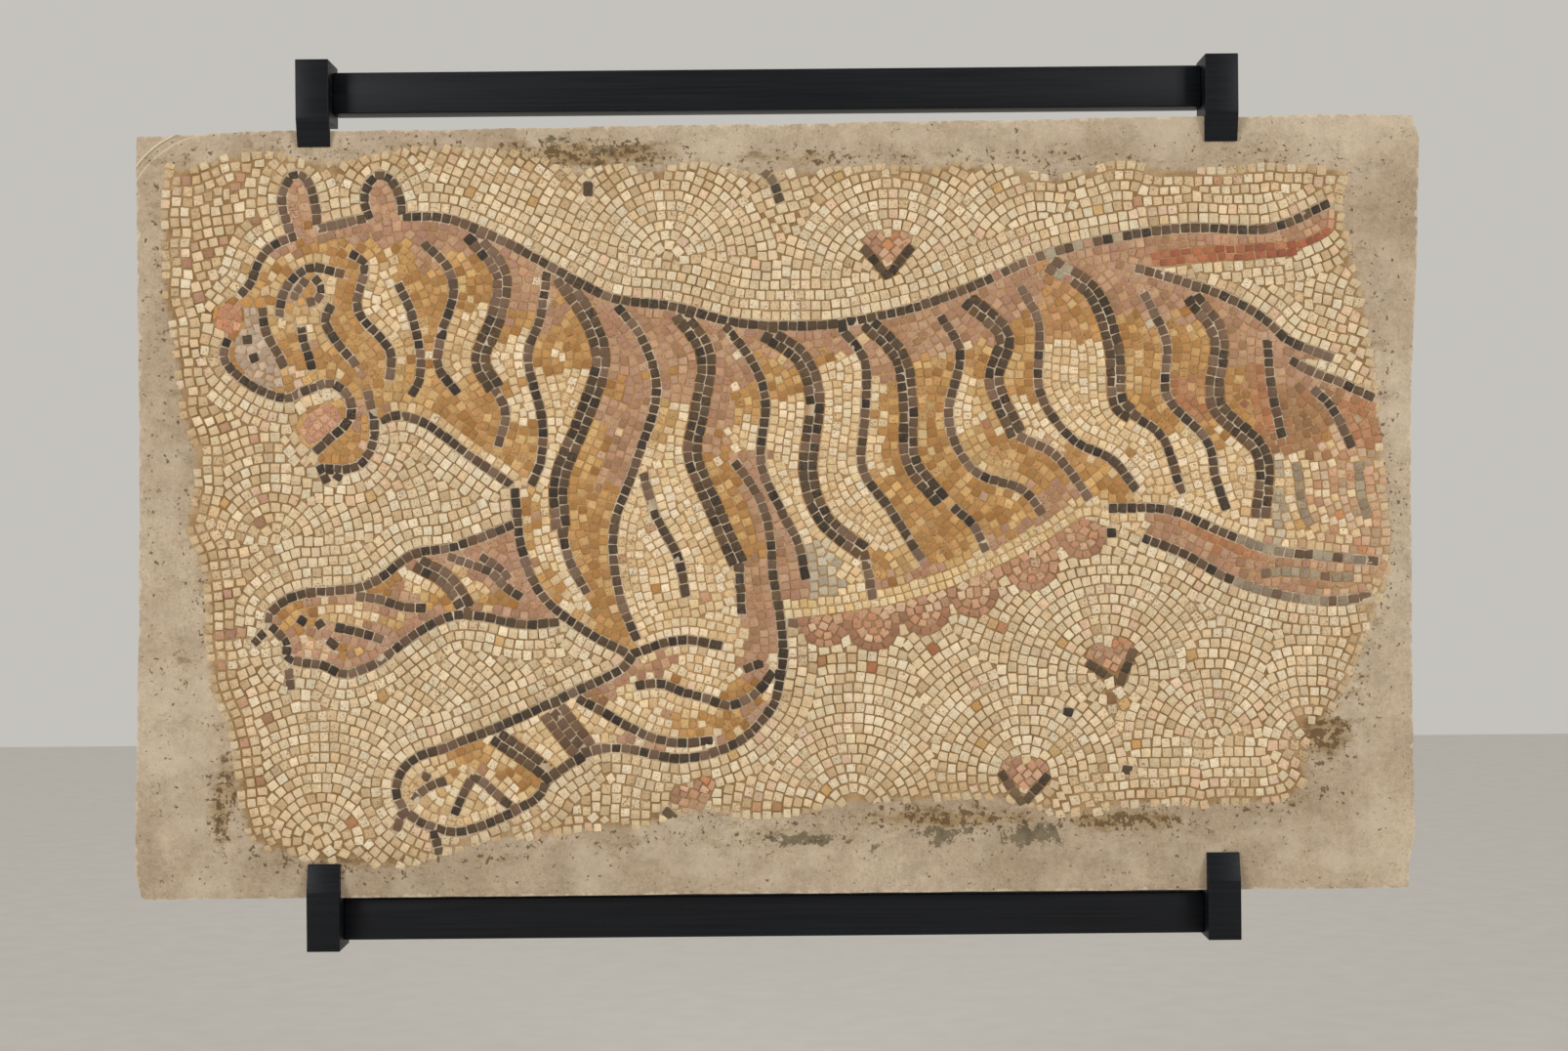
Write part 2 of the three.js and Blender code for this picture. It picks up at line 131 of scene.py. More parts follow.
def lines(rows, shade, *drawn_lines):
    """Drawn lines that have the same number of rows and shade."""
    return [(rows, shade, points) for points in drawn_lines]


LINES = [
    *lines(1, DARK, NOSE_BRIDGE, FAR_EAR, CROWN, NEAR_EAR, BACK, RUMP, RUMP_TUFT, HIND_TOP, HIND_BOTTOM,
           LEG_BACK, ELBOW, NEAR_PAW, FORELEG, CHEST, FAR_TOP, FAR_PAW, FAR_BOTTOM, NECK, JAW, LIP),
    # face
    *lines(1, DARK, [(-484, 190), (-480, 212), (-468, 229), (-450, 238), (-420, 231)]),
    *lines(1, BROWN, [(-470, 206), (-466, 216), (-456, 227)]),
    *lines(1, DARK,
           [(-450, 229), (-443, 219), (-446, 207), (-457, 203)],
           [(-500, 200), (-498, 180), (-492, 165), (-483, 150), (-480, 140)],
           [(-463, 182), (-460, 165), (-455, 150), (-452, 138)], [(-520, 168), (-510, 169)],
           [(-513, 149), (-504, 152)], [(-414, 104), (-415, 92), (-425, 80), (-440, 68), (-450, 58)],
           [(-446, 46), (-438, 28)], [(-437, 42), (-424, 32)]),
    # stripes
    *[run for stripe in STRIPES for run in stripe],
    *lines(1, DARK,
           [(-432, 202), (-439, 186), (-428, 165), (-408, 142)],
           [(-131, 36), (-119, -6), (-98, -46), (-90, -86)], [(522, 112), (541, 92), (560, 54)]),
    *lines(1, FADED,
           [(505, 40), (508, 20), (510, 0), (518, -22)], [(566, 40), (568, 10), (575, -15)],
           [(470, -68), (500, -66), (540, -72), (560, -71)]),
    # far foreleg
    *lines(2, DARK, [(-352, -50), (-322, -68), (-303, -97)]),
    *lines(1, DARK, [(-322, -44), (-300, -52), (-280, -60), (-265, -75), (-250, -85)]),
    *lines(1, BROWN, [(-290, -44), (-270, -58), (-262, -68)]),
    *lines(1, DARK,
           [(-412, -82), (-390, -85), (-365, -93), (-343, -94)],
           [(-432, -112), (-410, -117), (-385, -125)], [(-468, -103), (-460, -108)],
           [(-451, -112), (-443, -106)], [(-439, -124), (-430, -133)], [(-500, -116), (-512, -128)]),
    *lines(1, BROWN, [(-478, -152), (-475, -173)]),
    # near foreleg
    *lines(1, DARK,
           [(-142, -141), (-110, -130), (-85, -128), (-55, -134)],
           [(-197, -183), (-175, -195), (-150, -210), (-125, -222), (-95, -228), (-65, -225)],
           [(-140, -172), (-115, -170), (-95, -178), (-70, -185), (-50, -192), (-30, -185),
            (-15, -172), (-5, -158)],
           [(-35, -157), (-15, -150)]),
    *lines(3, BROWN, [(-222, -194), (-203, -219), (-186, -241)]),
    *lines(2, DARK, [(-278, -219), (-250, -238), (-222, -259)]),
    *lines(1, DARK,
           [(-358, -282), (-345, -270), (-325, -262)], [(-318, -296), (-308, -275), (-298, -258)],
           [(-298, -258), (-285, -268), (-270, -282), (-260, -290)], [(-349, -257), (-340, -261)],
           [(-368, -292), (-374, -312)], [(-338, -310), (-332, -335)]),
    # single stones strewn on the ground
    *lines(1, DARK,
           [(325, -22), (325, -32)], [(-182, 320), (-182, 305)], [(-12, 329), (-2, 318), (5, 297)],
           [(-113, -292), (-102, -303)], [(333, -257), (343, -259)], [(276, -200), (286, -202)]),
    *lines(1, BROWN, [(9, -112), (19, -113)]),
]

FIELD_EDGE = [
    (-593, 342), (-598, 224), (-584, 160), (-572, 5), (-563, -71), (-554, -166), (-531, -233),
    (-527, -290), (-508, -322), (-447, -343), (-342, -344), (-247, -323), (-152, -312),
    (-114, -307), (-90, -305), (-60, -299), (124, -296), (361, -296), (456, -292), (508, -272),
    (524, -223), (547, -195), (567, -138), (592, -92), (598, -40), (590, 80), (584, 156),
    (570, 223), (556, 290), (545, 329), (386, 330), (196, 335), (6, 332), (-184, 334),
    (-222, 348), (-336, 354), (-441, 351),
]
SLAB_EDGE = [
    (-623, 360), (-616, 368), (-520, 371.5), (-300, 372), (-120, 373.5), (80, 375), (300, 377),
    (520, 379), (606, 378.5), (622, 372), (628, 356), (625, 250), (619, 120), (617, -20),
    (617, -200), (618, -326), (612, -353), (594, -369), (500, -375), (-560, -376),
    (-608, -376.5), (-624, -369), (-629, -350), (-627, -240), (-623, -100), (-622, 60),
    (-622, 200),
]
TONGUE = [(-432, 106), (-424, 96), (-424, 86), (-440, 70), (-458, 66), (-465, 80), (-455, 98)]
NOSE = [(-521, 203), (-520, 180), (-530, 173), (-545, 180), (-546, 197), (-534, 204)]
MUZZLE = [
    (-519, 200), (-506, 200), (-502, 180), (-496, 163), (-486, 146), (-479, 122), (-497, 120),
    (-515, 132), (-529, 152), (-527, 172), (-517, 180),
]
TAIL_RED = [(366, 238), (410, 243), (460, 245), (508, 249)]
FRINGE_LOBES = [
    (45, -112, 24), (92, -114, 26), (142, -100, 25), (190, -84, 24), (246, -56, 27), (296, -28, 24),
]
# middle, turn in degrees, whether it has its dark cup
ROSEBUDS = [
    ((109, 250), 0, True), ((324, -150), 16, True), ((238, -264), -4, True), ((-82, -283), 20, False),
]

# Odd stones of another colour in the ground: place and colour.
ODD_STONES = [
    (42, -149, "russet"), (91, -152, "russet"), (152, -138, "russet"), (215, -113, "russet"),
    (326, -188, "umber"), (196, -196, "ochre"), (345, -234, "ochre"), (427, 315, "rose"),
    (352, 302, "rose"), (-20, -290, "rose"), (-8, -293, "russet"), (-420, -300, "russet"),
    (-560, 210, "mauve"), (-545, -150, "rose"), (-520, -225, "rose"), (-505, 12, "mauve"),
]

# Middles of the scallop-shaped fans in which the ground is laid.
FANS = np.array([
    (-106, 242), (113, 222), (262, 228), (70, -298), (241, -262), (320, -165), (423, -228),
    (516, -236), (-446, -322), (-250, 480), (-490, -30), (600, 190),
], float)


# ---------------------------------------------------------------- small geometry in the picture


def run_of(line):
    """How far along a line each of its points is."""
    return np.concatenate([[0], np.cumsum(np.linalg.norm(np.diff(line, axis=0), axis=1))])


def at_runs(line, run, at):
    """The places at the distances at along a line."""
    return np.stack([np.interp(at, run, line[:, 0]), np.interp(at, run, line[:, 1])], 1)


def drawn(points, step):
    """A smooth line through the points, in even steps."""
    p = np.array(points, float)
    ends = np.vstack([2 * p[0] - p[1], p, 2 * p[-1] - p[-2]])
    t = np.linspace(0, 1, 24, endpoint=False)[:, None]
    parts = []
    for a, b, c, d in zip(ends, ends[1:], ends[2:], ends[3:]):
        parts.append(0.5 * (2 * b + (c - a) * t + (2 * a - 5 * b + 4 * c - d) * t**2
                            + (3 * b - a - 3 * c + d) * t**3))
    fine = np.vstack(parts + [p[-1:]])
    run = run_of(fine)
    count = max(int(round(run[-1] / step)), 1)
    return at_runs(fine, run, np.linspace(0, run[-1], count + 1))


def directions(line):
    """Angle of a line at each of its points."""
    along = np.gradient(line, axis=0)
    return np.arctan2(along[:, 1], along[:, 0])


def beside(line, off):
    """The line moved sideways by off, to its left where off is positive."""
    a = directions(line)
    return line + np.stack([-np.sin(a), np.cos(a)], 1) * off


def band(points, width):
    """The outline of a band drawn through the points."""
    line = drawn(points, 6)
    return np.vstack([beside(line, width / 2), beside(line, -width / 2)[::-1]])


def turned(points, middle, degrees):
    """The points turned about the origin and moved to their middle."""
    a = math.radians(degrees)
    p = np.array(points, float)
    return np.stack([p[:, 0] * math.cos(a) - p[:, 1] * math.sin(a) + middle[0],
                     p[:, 0] * math.sin(a) + p[:, 1] * math.cos(a) + middle[1]], 1)


def inside(outline, u, v):
    """Whether the points u, v lie inside a closed outline."""
    p = np.array(outline, float)
    found = np.zeros(np.shape(u), bool)
    for (x0, z0), (x1, z1) in zip(p, np.roll(p, -1, 0)):
        if z0 == z1:
            continue
        crosses = (v < z0) != (v < z1)
        found ^= crosses & (u < (x1 - x0) * (v - z0) / (z1 - z0) + x0)
    return found


def in_oval(p, middle, wide, high, turn):
    """Whether the places p lie in an oval of these half sizes, turned by so many degrees."""
    a = math.radians(turn)
    du, dv = p[:, 0] - middle[0], p[:, 1] - middle[1]
    x, z = du * math.cos(a) + dv * math.sin(a), dv * math.cos(a) - du * math.sin(a)
    return (x / wide) ** 2 + (z / high) ** 2 < 1


def from_spot(p, x, z):
    """Distance of the places p from one spot."""
    return np.hypot(p[:, 0] - x, p[:, 1] - z)


def rise(value, start, length):
    """Grows from 0 at the start to 1 one length further on, towards the left where it is minus."""
    return np.clip((value - start) / length, 0, 1)


def fade(value, length):
    """Falls from 1 where the value is 0 to 0 one length further on."""
    return np.clip(1 - value / length, 0, 1)


def nearest(points, line):
    """Distance from each point to a sampled line, and the index of the nearest sample."""
    best = np.full(len(points), 1e9)
    which = np.zeros(len(points), int)
    for start in range(0, len(line), 400):
        part = line[start:start + 400]
        d = (points[:, 0, None] - part[None, :, 0]) ** 2 + (points[:, 1, None] - part[None, :, 1]) ** 2
        i = d.argmin(1)
        m = d[np.arange(len(points)), i]
        nearer = m < best
        best[nearer] = m[nearer]
        which[nearer] = i[nearer] + start
    return np.sqrt(best), which


class Cloud:
    """Smooth random hills over the picture, always the same for the same seed. About 0 to 1."""

    GRID = 64
    SHIFT = 4000  # keeps every place of the picture on the positive side of the grid

    def __init__(self, seed, size, octaves=3):
        rng = np.random.default_rng(seed)
        self.layers = [(size / 2**i, 0.5**i, rng.random((self.GRID, self.GRID)))
                       for i in range(octaves)]

    def __call__(self, u, v):
        total, weight = 0.0, 0.0
        for size, share, grid in self.layers:
            x, y = (np.asarray(u) + self.SHIFT) / size, (np.asarray(v) + self.SHIFT) / size
            i, j = np.floor(x).astype(int), np.floor(y).astype(int)
            fx, fy = x - i, y - j
            fx, fy = fx * fx * (3 - 2 * fx), fy * fy * (3 - 2 * fy)
            corner = [[grid[(i + a) % self.GRID, (j + b) % self.GRID] for b in (0, 1)] for a in (0, 1)]
            total = total + share * (corner[0][0] * (1 - fx) * (1 - fy) + corner[1][0] * fx * (1 - fy)
                                     + corner[0][1] * (1 - fx) * fy + corner[1][1] * fx * fy)
            weight += share
        return total / weight


# ---------------------------------------------------------------- the areas of the picture

# In the order of their numbers: name, slot, and its stones' colour where it has only one.
AREAS = [
    ("ground", "cream_stone", None), ("coat", "ochre_stone", None), ("tail_red", "red_stone", "red"),
    ("tongue", "pink_stone", "tongue"), ("nose", "pink_stone", "nose"),
    ("muzzle", "grey_stone", "muzzle"), ("belly_fringe", "pink_stone", "fringe"),
    *[(f"rosebud_{i}", "pink_stone", "rose") for i in (1, 2, 3, 4)], ("line", "dark_stone", None),
]
GROUND, CAT, FRINGE, FIRST_BUD, LINE = 0, 1, 6, 7, 11
GROUND_PITCH, CAT_PITCH = 9.8, 8.4  # from one stone's middle to the next one's
ROW = 9.7  # from one row of a drawn line to the next
CELL = 10  # seeds are looked up in squares of this many millimetres
LEFT, BOTTOM = -620, -360  # the part of the picture that can hold stones
WIDE, HIGH = 1240, 730
COARSE = 2  # step at which the stones' places are settled
GAP_STEP = 4  # step at which gaps between the courses are looked for
CUP_ARMS = [(-24, 4), (0, -26)], [(0, -26), (24, 4)]  # a rosebud's dark cup

CAT_EDGE = np.vstack([
    drawn(part, 3) for part in (
        NOSE_TIP, NOSE_BRIDGE, FAR_EAR, CROWN, NEAR_EAR, BACK, UNDER_TAIL, RUMP, RUMP_TUFT, WORN_END,
        HIND_BOTTOM[::-1], BELLY, LEG_BACK[4:], ELBOW, NEAR_PAW, FORELEG, CHEST[:3],
        FAR_BOTTOM[::-1], FAR_PAW[::-1], FAR_TOP[::-1], NECK, JAW[2:], TONGUE_EDGE, LIP[1:],
    )
])


def fringe_outline():
    """The belly's line with a row of round lobes hanging from it."""
    lobes = [(x + size * math.cos(a), z + size * math.sin(a)) for x, z, size in FRINGE_LOBES
             for a in np.linspace(math.pi, 2 * math.pi, 12) + 0.35]
    return BELLY[1:] + lobes


def petal_outline(middle, turn):
    """Two round petals that meet in a point below."""
    radius, lift = 12, 7
    points = [(0, -14)]
    for side in (radius, -radius):
        points += [(side + radius * math.cos(a), lift + radius * math.sin(a))
                   for a in np.linspace(0, math.pi, 9)]
    return turned(points, middle, turn)


def field_outline():
    """The ragged edge of the field of stones: up to 13 mm either side of the drawn one."""
    line = drawn(FIELD_EDGE + FIELD_EDGE[:1], 5)
    push = (Cloud(11, 70)(line[:, 0], line[:, 1]) - 0.5) * 26
    return beside(line, push[:, None])


FIELD = field_outline()


def raster(step):
    """Evenly spaced points over the picture."""
    u = LEFT + step / 2 + step * np.arange(WIDE // step)
    v = BOTTOM + step / 2 + step * np.arange(HIGH // step)
    return np.meshgrid(u, v)


def paint_areas(u, v):
    """The area that every point of the picture belongs to, or -1 outside the field."""
    area = np.full(u.shape, -1, np.int8)

    def fill(outline, value):
        p = np.array(outline)
        rows = (v[:, 0] > p[:, 1].min() - 2) & (v[:, 0] < p[:, 1].max() + 2)
        cols = (u[0] > p[:, 0].min() - 2) & (u[0] < p[:, 0].max() + 2)
        box = np.ix_(rows, cols)
        part = area[box]
        part[inside(p, u[box], v[box])] = value
        area[box] = part

    small = [band(TAIL_RED, 15), TONGUE, NOSE, MUZZLE, fringe_outline()]
    buds = [petal_outline(middle, turn) for middle, turn, _ in ROSEBUDS]
    for value, outline in enumerate([FIELD, CAT_EDGE, *small, *buds]):
        fill(outline, value)
    for rows, _, points in LINES:
        fill(band(points, rows * ROW - 0.4), LINE)
    for middle, turn, cup in ROSEBUDS:
        for arm in CUP_ARMS if cup else ():
            fill(band(turned(arm, middle, turn), 9), LINE)
    return area


def field_depth(u, v):
    """How far inside the field of stones a place is, negative outside."""
    pts = np.stack([np.ravel(u), np.ravel(v)], 1)
    gap, _ = nearest(pts, FIELD[::2])
    return np.where(inside(FIELD, pts[:, 0], pts[:, 1]), gap, -gap).reshape(np.shape(u))


# ---------------------------------------------------------------- laying the stones


class Places:
    """The places already taken, so that no stone is set on top of another."""

    def __init__(self):
        self.taken = {}

    def take(self, p, reach):
        """Takes the place p unless another stone is nearer than reach; says whether it did."""
        i, j = int(p[0] // CELL), int(p[1] // CELL)
        for a in (-1, 0, 1):
            for b in (-1, 0, 1):
                for q in self.taken.get((i + a, j + b), ()):
                    if math.hypot(p[0] - q[0], p[1] - q[1]) < reach:
                        return False
        self.taken.setdefault((i, j), []).append(p)
        return True


def line_stones(rng):
    """Stones along the drawn lines: places, angles, shades. Each next stone is 8 to 11 mm on, and
    the rows of one line are staggered."""
    places, angles, shades = [], [], []
    taken = Places()
    cups = [(1, DARK, turned(arm, middle, turn).tolist()) for middle, turn, cup in ROSEBUDS if cup
            for arm in ([(-22, 2), (0, -26)], [(3, -22), (22, 2)])]
    for rows, shade, points in LINES + cups:
        stagger = 0.0
        for row in range(rows):
            line = drawn(points, 1.0)
            a = directions(line)
            line = beside(line, (row - (rows - 1) / 2) * ROW)
            run = 4.6 + stagger
            while run < len(line) + (2 if len(line) < 12 else -3):
                i = min(int(run), len(line) - 1)
                if taken.take(line[i], 7.0):
                    places.append(line[i])
                    angles.append(a[i] + rng.normal(0, 0.07))
                    shades.append(shade)
                run += rng.uniform(8.0, 11.0)
            stagger = 5.0
    return np.array(places), np.array(angles), shades


# Lines that the courses of stones follow: half the line's own width, and its points. The field's
# edge is one of them at the left and in the two right corners.
follows_edge = (FIELD[:, 0] < -520) | (FIELD[:, 0] > 330) & (FIELD[:, 1] < -270) | (
    FIELD[:, 0] > 300) & (FIELD[:, 1] > 300)
COURSE_LINES = [
    *[(rows * ROW / 2, drawn(points, 3)) for rows, _, points in LINES if len(points) > 2],
    *[(0, part[::-1]) for part in np.split(FIELD, np.flatnonzero(~follows_edge)) if len(part) > 4],
    *[(0, drawn(part, 3)) for part in (UNDER_TAIL, WORN_END, BELLY)],
]
LINE_POINTS = np.vstack([line for _, line in COURSE_LINES])
LINE_ANGLES = np.concatenate([directions(line) for _, line in COURSE_LINES])
ALONG_LINES = 32.0  # ground nearer than this to a line is laid along it, and the rest in fans
COURSES, RINGS, FRINGE_RINGS = 10, 34, 3  # beside each line, round each fan and in each lobe


def nearest_fan(p):
    """The fan each place belongs to: a fan opens upwards, so it has little below its middle."""
    du, dv = p[:, 0, None] - FANS[None, :, 0], p[:, 1, None] - FANS[None, :, 1]
    return (np.hypot(du, dv) + 2 * np.maximum(-dv, 0)).argmin(1)


def follows_line(p, kind, far):
    """Whether a place so far from a line is laid along it. Below a fan's middle the courses keep
    to the line for longer, and above the tail up to the edge."""
    below = p[:, 1] < FANS[nearest_fan(p), 1]
    reach = np.where(below, 2 * ALONG_LINES, ALONG_LINES)
    reach = np.where((p[:, 0] > 290) & (p[:, 1] > 240), 3 * ALONG_LINES, reach)
    return (kind != GROUND) | (far < reach)


def lay_angles(p, kind):
    """The angle at which a stone lies: along the nearest line, or round its fan's middle."""
    far, which = nearest(p, LINE_POINTS)
    angle = LINE_ANGLES[which].copy()
    fans = FANS[nearest_fan(p)]
    loose = ~follows_line(p, kind, far)
    angle[loose] = np.arctan2(p[:, 1] - fans[:, 1], p[:, 0] - fans[:, 0])[loose]
    for x, z, size in FRINGE_LOBES:
        near = (kind == FRINGE) & (from_spot(p, x, z) < size + 3)
        angle[near] = np.arctan2(p[near, 1] - z, p[near, 0] - x)
    for i, (_, turn, _) in enumerate(ROSEBUDS):
        angle[kind == FIRST_BUD + i] = math.radians(turn + 45)
    return angle


def stations(line, pitch, rng):
    """Places one stone apart along a line."""
    run = run_of(line)
    return at_runs(line, run, np.arange(rng.uniform(0, pitch), run[-1], pitch))


def ring(x, z, radius, pitch, start):
    """Places one stone apart round a middle."""
    count = max(int(round(2 * math.pi * radius / pitch)), 4)
    a = start + 2 * math.pi * np.arange(count) / count
    return np.stack([x + radius * np.cos(a), z + radius * np.sin(a)], 1)


def course_places(area_of, rng):
    """Where the stones of the ground, coat and fringe are set, course by course: beside the lines
    first, then in rings round the middles of the fans, then wherever a gap is left."""
    taken, chosen = Places(), []

    def set_course(p, pitch, wanted, reach=0.74):
        for place in p[wanted]:
            if taken.take(place, pitch * reach):
                chosen.append(place)

    for area, pitch in ((CAT, CAT_PITCH), (GROUND, GROUND_PITCH)):
        for k in range(COURSES):
            rows, offs = [], []
            for half, line in COURSE_LINES:
                off = half + pitch * (k + 0.5)
                for hand in (off, -off):
                    rows.append(stations(beside(line, hand), pitch, rng))
                    offs.append(np.full(len(rows[-1]), off))
            p, off = np.vstack(rows), np.concatenate(offs)
            own = area_of(p) == area
            p, off = p[own], off[own]
            clear = nearest(p, LINE_POINTS)[0] > off - 1.6
            set_course(p, pitch, clear & follows_line(p, area_of(p), off))
    for k in range(RINGS):
        rings = [ring(x, z, GROUND_PITCH * (k + 0.5), GROUND_PITCH, rng.uniform(0, 1)) for x, z in FANS]
        fan = np.repeat(np.arange(len(FANS)), len(rings[0]))
        p = np.vstack(rings)
        own = area_of(p) == GROUND
        p, fan = p[own], fan[own]
        loose = ~follows_line(p, area_of(p), nearest(p, LINE_POINTS)[0])
        set_course(p, GROUND_PITCH, loose & (nearest_fan(p) == fan))
    for x, z, size in FRINGE_LOBES:
        for k in range(FRINGE_RINGS):
            p = ring(x, z, size - CAT_PITCH * (k + 0.45), CAT_PITCH, rng.uniform(0, 1))
            set_course(p, CAT_PITCH, area_of(p) == FRINGE)
    u, v = raster(GAP_STEP)
    gaps = np.stack([u.ravel(), v.ravel()], 1)
    gaps = gaps[rng.permutation(len(gaps))]
    for area, pitch in ((GROUND, GROUND_PITCH), (CAT, CAT_PITCH), (FRINGE, CAT_PITCH)):
        set_course(gaps, pitch, area_of(gaps) == area, 0.86)
    return np.array(chosen)


def share_out(u, v, area, step, places, angles, kinds, reach=None):
    """Gives every point of the picture to the nearest stone of its own area, measured square to
    that stone, and returns the stone's number for each point, or -1."""
    across, up = WIDE // CELL, HIGH // CELL
    n = CELL // step
    i = np.clip(((places[:, 0] - LEFT) // CELL).astype(int), 0, across - 1)
    j = np.clip(((places[:, 1] - BOTTOM) // CELL).astype(int), 0, up - 1)
    key = j * across + i
    order = np.argsort(key, kind="stable")
    rank = np.arange(len(key)) - np.searchsorted(key[order], key[order])
    most = min(int(rank.max()) + 1, 4)
    table = np.full((up + 2, across + 2, most), -1, np.int32)
    fits = rank < most
    table[key[order][fits] // across + 1, key[order][fits] % across + 1, rank[fits]] = order[fits]

    def blocks(a):
        return a.reshape(up, n, across, n)

    ub, vb, ab = blocks(u.astype(np.float32)), blocks(v.astype(np.float32)), blocks(area)
    best = np.full(ub.shape, 1e9, np.float32)
    owner = np.full(ub.shape, -1, np.int32)
    cos, sin = np.cos(angles).astype(np.float32), np.sin(angles).astype(np.float32)
    x, z = places[:, 0].astype(np.float32), places[:, 1].astype(np.float32)
    for dj in (0, 1, 2):
        for di in (0, 1, 2):
            for k in range(most):
                seed = table[dj:dj + up, di:di + across, k]
                if not (seed >= 0).any():
                    continue
                s = seed[:, None, :, None]
                du, dv = ub - x[s], vb - z[s]
                c, d = cos[s], sin[s]
                dist = np.maximum(np.abs(du * c + dv * d), np.abs(dv * c - du * d))
                dist = dist + 0.12 * (np.abs(du) + np.abs(dv))
                dist = np.where((s >= 0) & (kinds[s] == ab), dist, 1e9)
                nearer = dist < best
                best = np.where(nearer, dist, best)
                owner = np.where(nearer, s, owner)
    if reach:
        owner = np.where(best < reach, owner, -1)
    return np.where(best < 1e8, owner, -1).reshape(u.shape)


def centres(owner, u, v, count):
    """The middle of each stone's share of the points, and how many points it has."""
    own = owner.ravel()
    ok = own >= 0
    n = np.bincount(own[ok], minlength=count)
    cu = np.bincount(own[ok], u.ravel()[ok], count) / np.maximum(n, 1)
    cv = np.bincount(own[ok], v.ravel()[ok], count) / np.maximum(n, 1)
    return np.stack([cu, cv], 1), n


def four_corners(u, v, stone, middle, angles, n):
    """The corners of each stone about its middle: half way between the outermost points of its
    share and the rectangle of the same spread."""
    du, dv = u - middle[stone, 0], v - middle[stone, 1]
    x = du * np.cos(angles[stone]) + dv * np.sin(angles[stone])
    z = dv * np.cos(angles[stone]) - du * np.sin(angles[stone])
    starts = np.searchsorted(stone, np.arange(len(middle)))
    ends = np.searchsorted(stone, np.arange(len(middle)), side="right")
    spread_x = np.sqrt(3 * np.bincount(stone, x**2, len(middle)) / np.maximum(n, 1))
    spread_z = np.sqrt(3 * np.bincount(stone, z**2, len(middle)) / np.maximum(n, 1))
    c, d = np.cos(angles), np.sin(angles)
    corners = np.zeros((len(middle), 4, 2))
    for k, (sx, sz) in enumerate(((-1, -1), (1, -1), (1, 1), (-1, 1))):
        score = sx * x + sz * z - 0.04 * (x**2 + z**2)
        rank = np.lexsort((-score, stone))
        first = np.minimum(starts, len(rank) - 1)
        # the mean of the outermost few points steadies the corner
        spots = np.minimum(first[:, None] + np.arange(3)[None], np.maximum(ends - 1, first)[:, None])
        pick = rank[spots]
        outermost = np.stack([du[pick].mean(1), dv[pick].mean(1)], 1)
        square = np.stack([sx * spread_x * c - sz * spread_z * d,
                           sx * spread_x * d + sz * spread_z * c], 1)
        corners[:, k] = outermost * 0.6 + square * 0.4
    return corners


def face_area(corners):
    """The area of each stone's face."""
    x, z = corners[:, :, 0], corners[:, :, 1]
    return 0.5 * np.abs(np.sum(x * np.roll(z, -1, 1) - np.roll(x, -1, 1) * z, 1))


def spread_evenly(spots, count):
    """Even places: each next one is the farthest from those already chosen."""
    chosen = [spots[0]]
    gap = np.hypot(*(spots - spots[0]).T)
    while len(chosen) < count:
        chosen.append(spots[gap.argmax()])
        gap = np.minimum(gap, np.hypot(*(spots - chosen[-1]).T))
    return np.array(chosen)


def lay_stones():
    """Returns each stone's four corners about its middle, its area, its shade and its middle."""
    rng = np.random.default_rng(7)
    coarse_u, coarse_v = raster(COARSE)
    coarse = paint_areas(coarse_u, coarse_v)

    def area_of(p):
        col = np.clip(((p[:, 0] - LEFT) // COARSE).astype(int), 0, WIDE // COARSE - 1)
        row = np.clip(((p[:, 1] - BOTTOM) // COARSE).astype(int), 0, HIGH // COARSE - 1)
        return coarse[row, col]

    line_p, line_a, shades = line_stones(rng)
    laid = course_places(area_of, rng)
    places, kinds = [line_p, laid], [np.full(len(line_p), LINE, np.int8), area_of(laid)]
    for value in range(CAT + 1, LINE):
        if value != FRINGE:
            cells = np.argwhere(coarse == value)
            spots = np.array([LEFT, BOTTOM]) + COARSE / 2 + COARSE * cells[:, ::-1]
            count = max(int(round(len(cells) * COARSE**2 / CAT_PITCH**2)), 1)
            places.append(spread_evenly(spots, count))
            kinds.append(np.full(count, value, np.int8))
    places, kinds = np.vstack(places), np.concatenate(kinds)
    fixed = len(line_p)

    def share(u, v, area, step, reach=None):
        """Shares the points out among the stones: angles, owners, middles and counts."""
        angles = np.concatenate([line_a, lay_angles(places[fixed:], kinds[fixed:])])
        owner = share_out(u, v, area, step, places, angles, kinds, reach)
        return angles, owner, *centres(owner, u, v, len(places))

    # the stones are shifted to the middles of their shares until they lie evenly
    for turn in range(9):
        _, _, middle, n = share(coarse_u, coarse_v, coarse, COARSE)
        held = np.arange(len(places)) < fixed
        pull = np.where(held, 0.35, 0.8)[:, None]
        places = np.where(n[:, None] > 0, places + (middle - places) * pull, places)
        if turn in (2, 4):
            # stones squeezed to slivers are dropped
            full = (n * COARSE**2 > 40) | held
            places, kinds = places[full], kinds[full]

    fine_u, fine_v = raster(1)
    angles, owner, middle, n = share(fine_u, fine_v, paint_areas(fine_u, fine_v), 1, reach=9.5)
    own = owner.ravel()
    held = np.flatnonzero(own >= 0)
    held = held[np.argsort(own[held], kind="stable")]
    corners = four_corners(fine_u.ravel()[held], fine_v.ravel()[held], own[held], middle, angles, n)
    size = face_area(corners)
    corners *= np.clip(np.sqrt(n / np.maximum(size, 1)), 0.85, 1.08)[:, None, None]
    kept = (n > 24) & (size > 18)
    shade = np.array(shades + [""] * (len(places) - fixed), dtype=object)
    return corners[kept], kinds[kept], shade[kept], middle[kept]


# ---------------------------------------------------------------- colours of the stones

